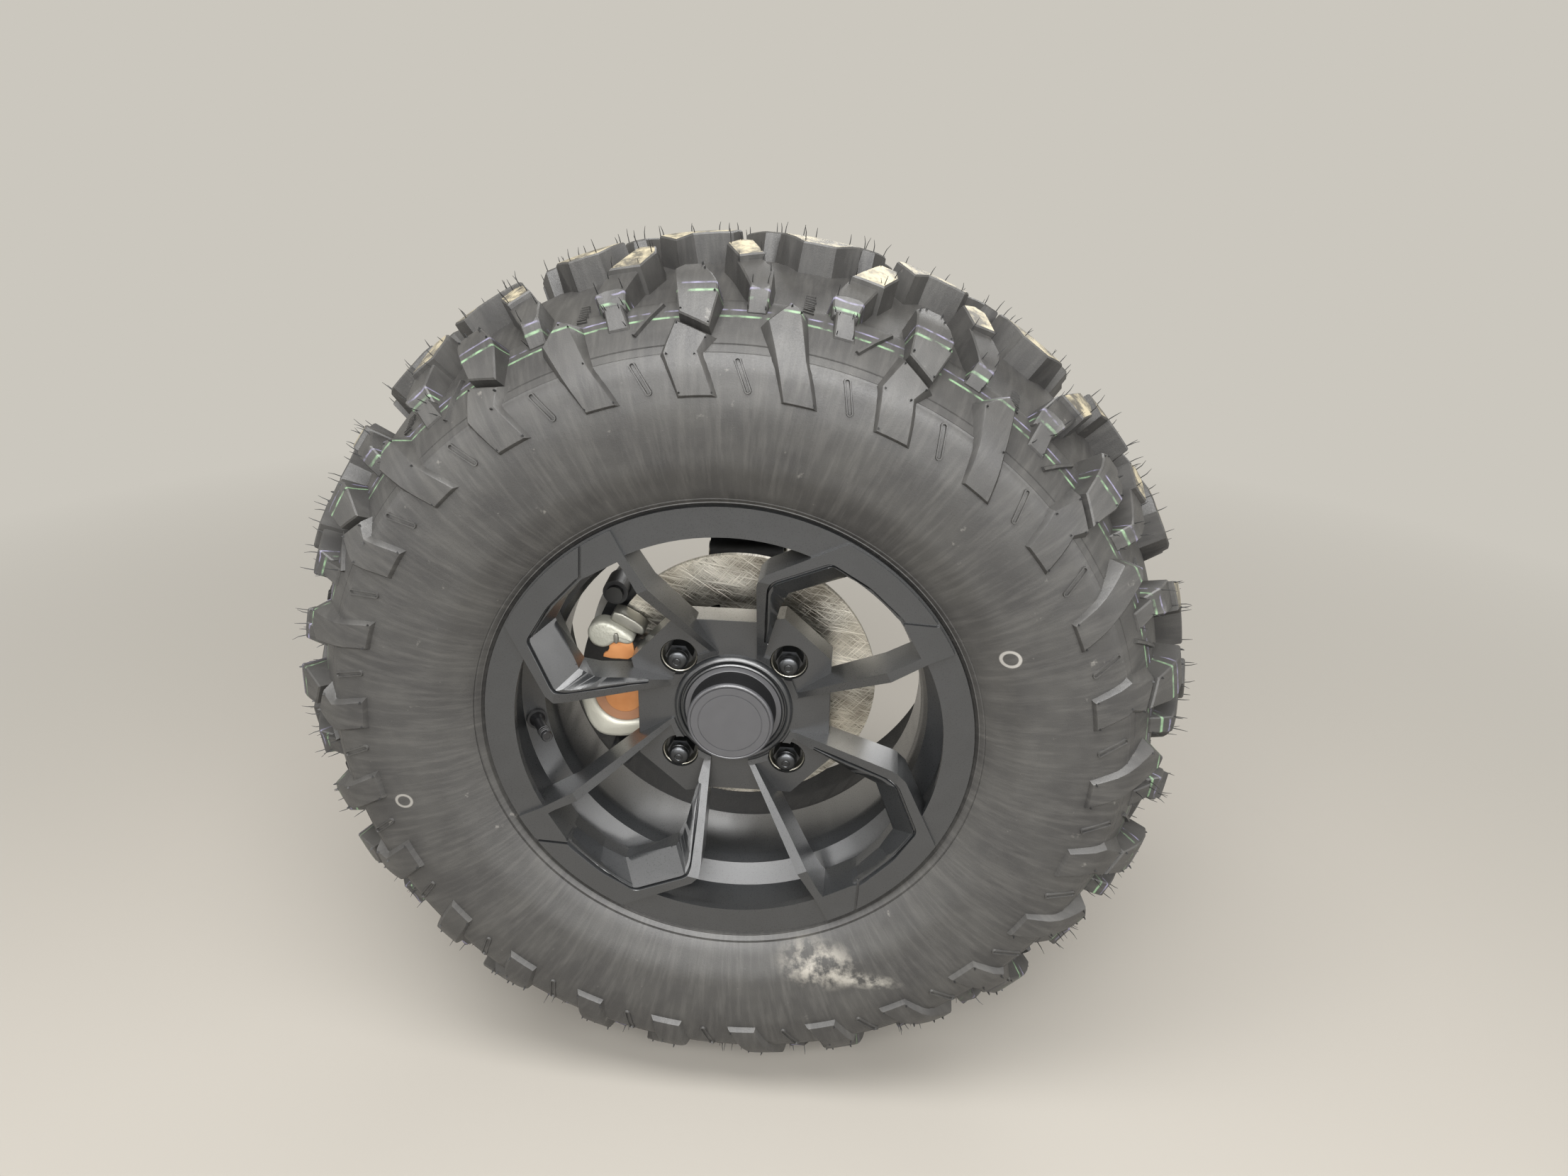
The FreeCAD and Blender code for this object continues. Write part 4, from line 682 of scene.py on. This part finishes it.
ledgePoints, ledgeFaces, seamPoints, seamFaces = [], [], [], []
stations = easedPath(rim["ledge"], rim["ledgeCorner"])
count = len(rim["ledgeSection"]) + 3
seam = rim["seam"]
seamStart, seamEnd = Vector(seam["start"]), Vector(seam["end"])
seamWay = seamEnd - seamStart
seamSide = Vector((-seamWay.y, seamWay.x)).normalized() * seam["wide"] / 2
for claw in range(4):
    start = len(ledgePoints)
    for outline, foot in stations:
        way = (foot - outline).normalized()
        reach = (foot - outline).length
        face = ramp(outline.length, rim["faceDepth"])
        floorDepth = max(rim["windowFloor"], ramp(foot.length, rim["faceDepth"]) + min(4, reach * 0.5))
        section = [(outline + way * across * min(1, reach / 8), face + below)
                   for across, below in rim["ledgeSection"]]
        section += [(foot, floorDepth), (foot + way * 3, floorDepth + 0.5), (foot + way * 3, face - 6)]
        ledgePoints += [onClaw(place, depth, claw) for place, depth in section]
    for number in range(len(stations) - 1):
        for strip in range(count):
            after = (strip + 1) % count
            corner = start + number * count
            ledgeFaces.append((corner + strip, corner + after, corner + count + after,
                               corner + count + strip))
    ledgeFaces.append([start + corner for corner in range(count)][::-1])
    ledgeFaces.append([start + (len(stations) - 1) * count + corner for corner in range(count)])
    start = len(seamPoints)
    for depth in (-8, -3 + seam["deep"]):
        seamPoints += [onClaw(place, depth, claw) for place in (
            seamStart + seamSide, seamEnd + seamSide, seamEnd - seamSide, seamStart - seamSide)]
    seamFaces += [[start + corner for corner in face] for face in (
        (0, 1, 2, 3), (7, 6, 5, 4), (0, 4, 5, 1), (1, 5, 6, 2), (2, 6, 7, 3), (3, 7, 4, 0))]
cutters = (meshPiece("ledgeCutter", ledgePoints, ledgeFaces), meshPiece("seamCutter", seamPoints, seamFaces))
for cutter in cutters:
    form = bmesh.new()
    form.from_mesh(cutter.data)
    bmesh.ops.recalc_face_normals(form, faces=form.faces)
    form.to_mesh(cutter.data)
    form.free()
rimPiece = easedCopy("rim", "castRim", rim["rounding"], "wheel_group", cutters, padEnd)
for node, width in castings.items():
    easedCopy(node, node + "Form", width,
              "knuckle_group" if node in ("knuckle", "caliper_bracket") else "wheel_group")
print("cast pieces rounded:", len(rimPiece.data.polygons), "faces on the rim")

# Turned pieces: closed sections of radius and place along each axis, in mm
wheelAxis = ((0, lipPlane, 0), (0, 1, 0))
nutAt = 62.5 * math.sqrt(0.5)
nutAxes = [((across * nutAt, lipPlane, up * nutAt), (0, 1, 0))
           for across, up in ((1, 1), (-1, 1), (-1, -1), (1, -1))]
turned = {
    "capSeatRing": {  # two beads in the rim round the cap
        "axes": [wheelAxis], "sides": 144, "sharp": 40, "finishes": ["black_rim"], "slot": "black_rim",
        "section": ((48.6, 47.5), (48.0, 45.4), (47.2, 43.6), (46.0, 42.3), (44.6, 41.9), (43.4, 42.5),
                    (42.9, 43.8), (42.7, 45.6), (42.2, 45.9), (41.9, 43.9), (41.4, 42.6), (40.3, 42.0),
                    (39.1, 42.6), (38.4, 44.0), (38.0, 47.5))},
    "mouldedCap": {  # an engraved ring at half way, a fine line, then a rounded bead at the edge
        "axes": [wheelAxis], "sides": 120, "sharp": 42, "finishes": ["cap_plastic", "barrel_shade"],
        "slot": "cap_plastic", "sideWall": (-0.126, -0.1075),  # m: the pot's wall, coloured with the near-black painted shade
        "section": ((0.01, 21.5), (25.0, 21.5), (25.1, 22.0), (25.7, 22.0), (25.8, 21.5), (31.3, 21.5),
                    (31.5, 22.3), (31.9, 22.3), (32.0, 21.7), (32.4, 21.35), (33.0, 21.3),
                    (33.6, 21.6), (34.2, 22.2), (34.55, 23.0), (34.7, 24.0), (34.7, 41.8),
                    (35.0, 42.5), (35.7, 42.8), (40.6, 42.8), (40.6, 45.0), (37.2, 45.0),
                    (37.2, 55.0), (35.0, 55.0), (32.5, 45.0), (32.5, 23.5), (0.01, 23.5))},
    "valveCap": {  # ribbed, on the leaning valve
        "axes": [((-158.22, -114.41, -19.16), (0.4857, -0.8725, 0.0584))], "sides": 32, "sharp": 40,
        "finishes": ["valve_rubber"], "slot": "valve_rubber",
        "section": ((0.01, 24.0), (1.9, 24.0), (2.3, 26.0), (3.9, 26.2), (4.5, 25.4), (4.6, 22.6),
                    (4.1, 22.3), (4.1, 21.7), (4.8, 21.4), (4.8, 20.2), (4.1, 19.9), (4.1, 19.3),
                    (4.8, 19.0), (4.8, 17.8), (4.1, 17.5), (4.1, 16.9), (5.0, 16.5), (5.2, 15.6),
                    (5.2, 14.0), (0.01, 14.0))},
    "nutEnds": {  # domed, with a centre mark
        "axes": nutAxes, "sides": 40, "sharp": 35, "finishes": ["nut_steel"], "slot": "nut_steel",
        "section": ((0.0, 36.5), (1.9, 36.5), (2.3, 36.9), (3.0, 36.9), (3.4, 36.4), (5.6, 36.8),
                    (7.2, 37.5), (8.1, 38.6), (8.5, 40.2), (8.5, 57.0), (0.0, 57.0))},
    "pocketSleeves": {  # bright steel round the nuts' pockets
        "axes": nutAxes, "sides": 40, "sharp": 35, "finishes": ["sleeve_steel"], "slot": "nut_steel",
        "section": ((15.1, 49.5), (14.4, 48.6), (13.7, 49.0), (13.4, 50.5), (13.1, 58.4), (15.1, 58.4))},
}
for name, form in turned.items():
    points, faces = [], []
    count = len(form["section"])
    for origin, way in form["axes"]:
        way = Vector(way).normalized()
        side = Vector((1, 0, 0)) if way.y == 1 else way.orthogonal().normalized()
        across = side.cross(way)
        start = len(points)
        for step in range(form["sides"]):
            angle = 2 * math.pi * step / form["sides"]
            spoke = side * math.cos(angle) + across * math.sin(angle)
            points += [(Vector(origin) + way * along + spoke * radius) / 1000
                       for radius, along in form["section"]]
            first, last = start + step * count, start + (step + 1) % form["sides"] * count
            for number in range(count):
                below = (number + 1) % count
                faces.append((first + number, last + number, last + below, first + below))
    piece = meshPiece(name, points, faces, [finishes[finish] for finish in form["finishes"]])
    # the cap's side wall takes the painted shade colour
    if "sideWall" in form:
        near, far = form["sideWall"]
        for polygon in piece.data.polygons:
            polygon.material_index = int(near < polygon.center.y < far)
    piece.data.shade_smooth()
    piece.data.set_sharp_from_angle(angle=math.radians(form["sharp"]))
    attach(piece, "wheel_group")
    if name == "mouldedCap":
        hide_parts("centre_cap")
print("cap, valve and nuts turned")

# Brake: plates that face outboard, as they show through the windows. Each outline is in x
# (forward) and z (up) in mm from the axle; then come back, front and front edge's rounding.
brake = {
    "lump": (((-124.8, 48.2), (-121, 55.5), (-113, 59.5), (-105, 58), (-97, 54), (-86.5, 46.5), (-85, 42),
              (-90, 38.5), (-101, 41), (-106, 36.5), (-112, 34.4), (-121, 37.5)), 84.0, 69.5, 3.4),
    "lowerFinger": (((-134, 16), (-134.5, -5), (-132, -22), (-128, -37), (-120, -49), (-107, -52),
                     (-90, -50), (-76, -43), (-76, -28), (-88, -33), (-103, -34), (-112.5, -28),
                     (-118.5, -18.3), (-120, -8), (-120, 16)), 86.0, 71.0, 5.0),
    "bar": (((-106, 60), (-101, 67.5), (-79, 55), (-76.5, 48), (-81, 44.5), (-104, 56)), 92.0, 76.0, 1.8),
    "clip": (((-101.5, 41), (-101.5, 50), (-97.5, 50), (-97.5, 41)), 74.0, 67.5, 0.8),
    "ear": (((-106.5, 39.5), (-103.5, 42.5), (-89.5, 43), (-87, 41), (-84, 24), (-112.5, 24),
             (-111.5, 29), (-107, 31.5)), 76.0, 73.0, 0.8),
    "bore": (-95.5, -9.0), "ring": (24.5, 71.6), "disc": (16.0, 71.1), "boreBack": 76.0,
}


def plateMesh(skin, plate, finish, rounds):
    outline, back, front, rounding = plate
    corners = anticlockwise([Vector(corner) for corner in outline])
    for turn in range(rounds):  # cuts every corner off
        cut = []
        for here, there in zip(corners, corners[1:] + corners[:1]):
            cut += [here.lerp(there, 0.25), here.lerp(there, 0.75)]
        corners = cut
    layers = [(0.0, back)]
    for step in range(4):
        angle = math.radians(30 * step)
        layers.append((rounding * (1 - math.cos(angle)), front + rounding * (1 - math.sin(angle))))
    points, marks, faces = [], [], []
    for inset, depth in layers:
        for place in stepOut(corners, -inset):
            points.append(Vector((place.x, depth + lipPlane, place.y)) / 1000)
            marks.append(place.y)
    count = len(corners)
    for ring in range(len(layers) - 1):
        for number in range(count):
            after = (number + 1) % count
            faces.append([ring * count + number, ring * count + after, (ring + 1) * count + after,
                          (ring + 1) * count + number])
    faces.append([(len(layers) - 1) * count + number for number in range(count)])
    faces.append(list(range(count))[::-1])
    skin.add(points, faces, finish, marks)


casting = Skin()
for name, finish, rounds in (("lump", 0, 2), ("lowerFinger", 2, 2), ("bar", 1, 1), ("clip", 1, 1)):
    plateMesh(casting, brake[name], finish, rounds)
casting.build("caliperFinger", [
    plainFinish("roughCastAluminium", "#8b8a80", "#b4b3a7", 0.55, 0.4, 2.2, 0.5),  # lumpy, sparkling grey
    plainFinish("milledCastFace", "#6f6e68", "#8d8b82", 0.42, 0.75, 0.7, 0.08),  # flat and darker
    plainFinish("tumbledCastAluminium", "#97958a", "#aaa89d", 0.46, 0.4, 1.2, 0.12)],  # pale and even
    40, "knuckle_group")
shim = Skin()
plateMesh(shim, brake["ear"], 0, 1)
for part, finish in (("ring", 1), ("disc", 0)):
    radius, front = brake[part]
    circle = [(brake["bore"][0] + radius * math.cos(math.radians(7.5 * step)),
               brake["bore"][1] + radius * math.sin(math.radians(7.5 * step))) for step in range(48)]
    plateMesh(shim, (circle, brake["boreBack"], front, 0.7), finish, 0)
shim.build("padShim", [
    plainFinish("copperShim", "#b9733f", "#dfa36f", 0.42, 0.55, 0.8, 0.05),  # warm metal
    plainFinish("brownRubberRing", "#7f5c44", "#94694c", 0.6, 0.0, 0.8, 0.03)],  # matte brown
    40, "knuckle_group")
print("brake dressed")

view = {"place": (0.09535, -0.92839, 0.48487), "right": (0.99662, 0.07895, 0.02271),
        "up": (-0.05332, 0.41124, 0.90997), "forward": (-0.06251, 0.9081, -0.41406), "lens": 27.05,
        "sensor": 36}
cameraData = bpy.data.cameras.new("photoView")
cameraData.lens = view["lens"]
cameraData.sensor_width = view["sensor"]
camera = bpy.data.objects.new("photoView", cameraData)
bpy.context.collection.objects.link(camera)
facing = Matrix((view["right"], view["up"], [-part for part in view["forward"]])).transposed().to_4x4()
camera.matrix_world = Matrix.Translation(view["place"]) @ facing
bpy.context.scene.camera = camera

studio = {
    "floorLevel": -0.3665, "front": -9.0, "wallDistance": 5.0, "bend": 1.5, "wallHeight": 7,
    "floorSide": 14.0, "bendSteps": 23, "paleFrom": 0.7, "paleBy": 1.9,  # m from the wheel
    "floorPaint": "#86827b", "air": "#e9e7e2", "airStrength": 0.3, "pale": "#cbc7be",
    "lamps": (  # name, place, width, height, watts; each faces the wheel
        ("ceilingPanel", (-0.1, -0.95, 2.3), 2.4, 0.9, 110),
        ("highFront", (0.2, -2.1, 1.45), 3.0, 0.8, 135),
        ("lowFront", (0.1, -2.8, 0.35), 3.4, 0.6, 34),
        ("rearPanel", (0.7, 2.6, 1.7), 2.0, 1.0, 42),
        ("leftWindow", (-2.6, -1.0, 0.9), 1.8, 1.4, 26),
        ("rightWindow", (2.5, -0.9, 0.7), 1.4, 1.2, 26),
    ),
}
# the floor's outline from the front: flat, then a curve up to a wall
profile = [(studio["front"], 0.0)]
for step in range(studio["bendSteps"] + 1):
    angle = math.radians(90 * step / studio["bendSteps"])
    profile.append((studio["wallDistance"] + studio["bend"] * math.sin(angle),
                    studio["bend"] * (1 - math.cos(angle))))
profile.append((studio["wallDistance"] + studio["bend"], studio["wallHeight"]))
points = [(side * studio["floorSide"] / 2, depth, studio["floorLevel"] + height)
          for depth, height in profile for side in (-1, 1)]
faces = [(2 * row, 2 * row + 1, 2 * row + 3, 2 * row + 2) for row in range(len(profile) - 1)]
floorPaint, floorTree, shader, coords = startMaterial("paleEpoxyFloor")  # poured epoxy: even and pale
setNode(floorTree, shader, {
    "Base Color": linear(studio["floorPaint"]), "Roughness": 0.7, "Specular IOR Level": 0.15})
floor = meshPiece("floor", points, faces, [floorPaint])
floor.data.shade_smooth()
for name, place, width, height, watts in studio["lamps"]:
    lampData = bpy.data.lights.new(name, "AREA")
    lampData.shape = "RECTANGLE"
    lampData.size, lampData.size_y, lampData.energy = width, height, watts
    lamp = bpy.data.objects.new(name, lampData)
    bpy.context.collection.objects.link(lamp)
    lamp.location = place
    lamp.rotation_euler = (-Vector(place)).to_track_quat("-Z", "Y").to_euler()
world = bpy.context.scene.world or bpy.data.worlds.new("studio")
bpy.context.scene.world = world
world.use_nodes = True
air = world.node_tree.nodes["Background"]
setNode(world.node_tree, air, {0: linear(studio["air"]), 1: studio["airStrength"]})
# far floor and sky show the pale backdrop to the camera and in metal, and light nothing
flat = addNode(floorTree, "VectorMath", {"operation": "MULTIPLY", 0: coords, 1: (1, 1, 0)})
far = addNode(floorTree, "MapRange", {
    "Value": addNode(floorTree, "VectorMath", {"operation": "LENGTH", 0: flat}, "Value"),
    "From Min": studio["paleFrom"], "From Max": studio["paleBy"], "To Min": 0.0, "To Max": 1.0})
for tree, lit, glow, output, share in (
        (floorTree, shader.outputs[0], "Emission", "Material Output", far),
        (world.node_tree, air.outputs[0], "Background", "World Output", 1.0)):
    seen = addNode(tree, "LightPath", {}, "Is Camera Ray")
    rays = seen.node.outputs
    for ray in ("Is Glossy Ray", "Is Transmission Ray"):
        seen = addNode(tree, "Math", {"operation": "MAXIMUM", 0: seen, 1: rays[ray]})
    seen = addNode(tree, "Math", {"operation": "MULTIPLY", 0: seen, 1: share})
    pale = addNode(tree, glow, {"Color": linear(studio["pale"]), "Strength": 1.0})
    mixed = addNode(tree, "MixShader", {0: seen, 1: lit, 2: pale})
    tree.links.new(mixed, tree.nodes[output].inputs["Surface"])
bpy.context.scene.view_settings.view_transform = "Standard"
print("studio lit")
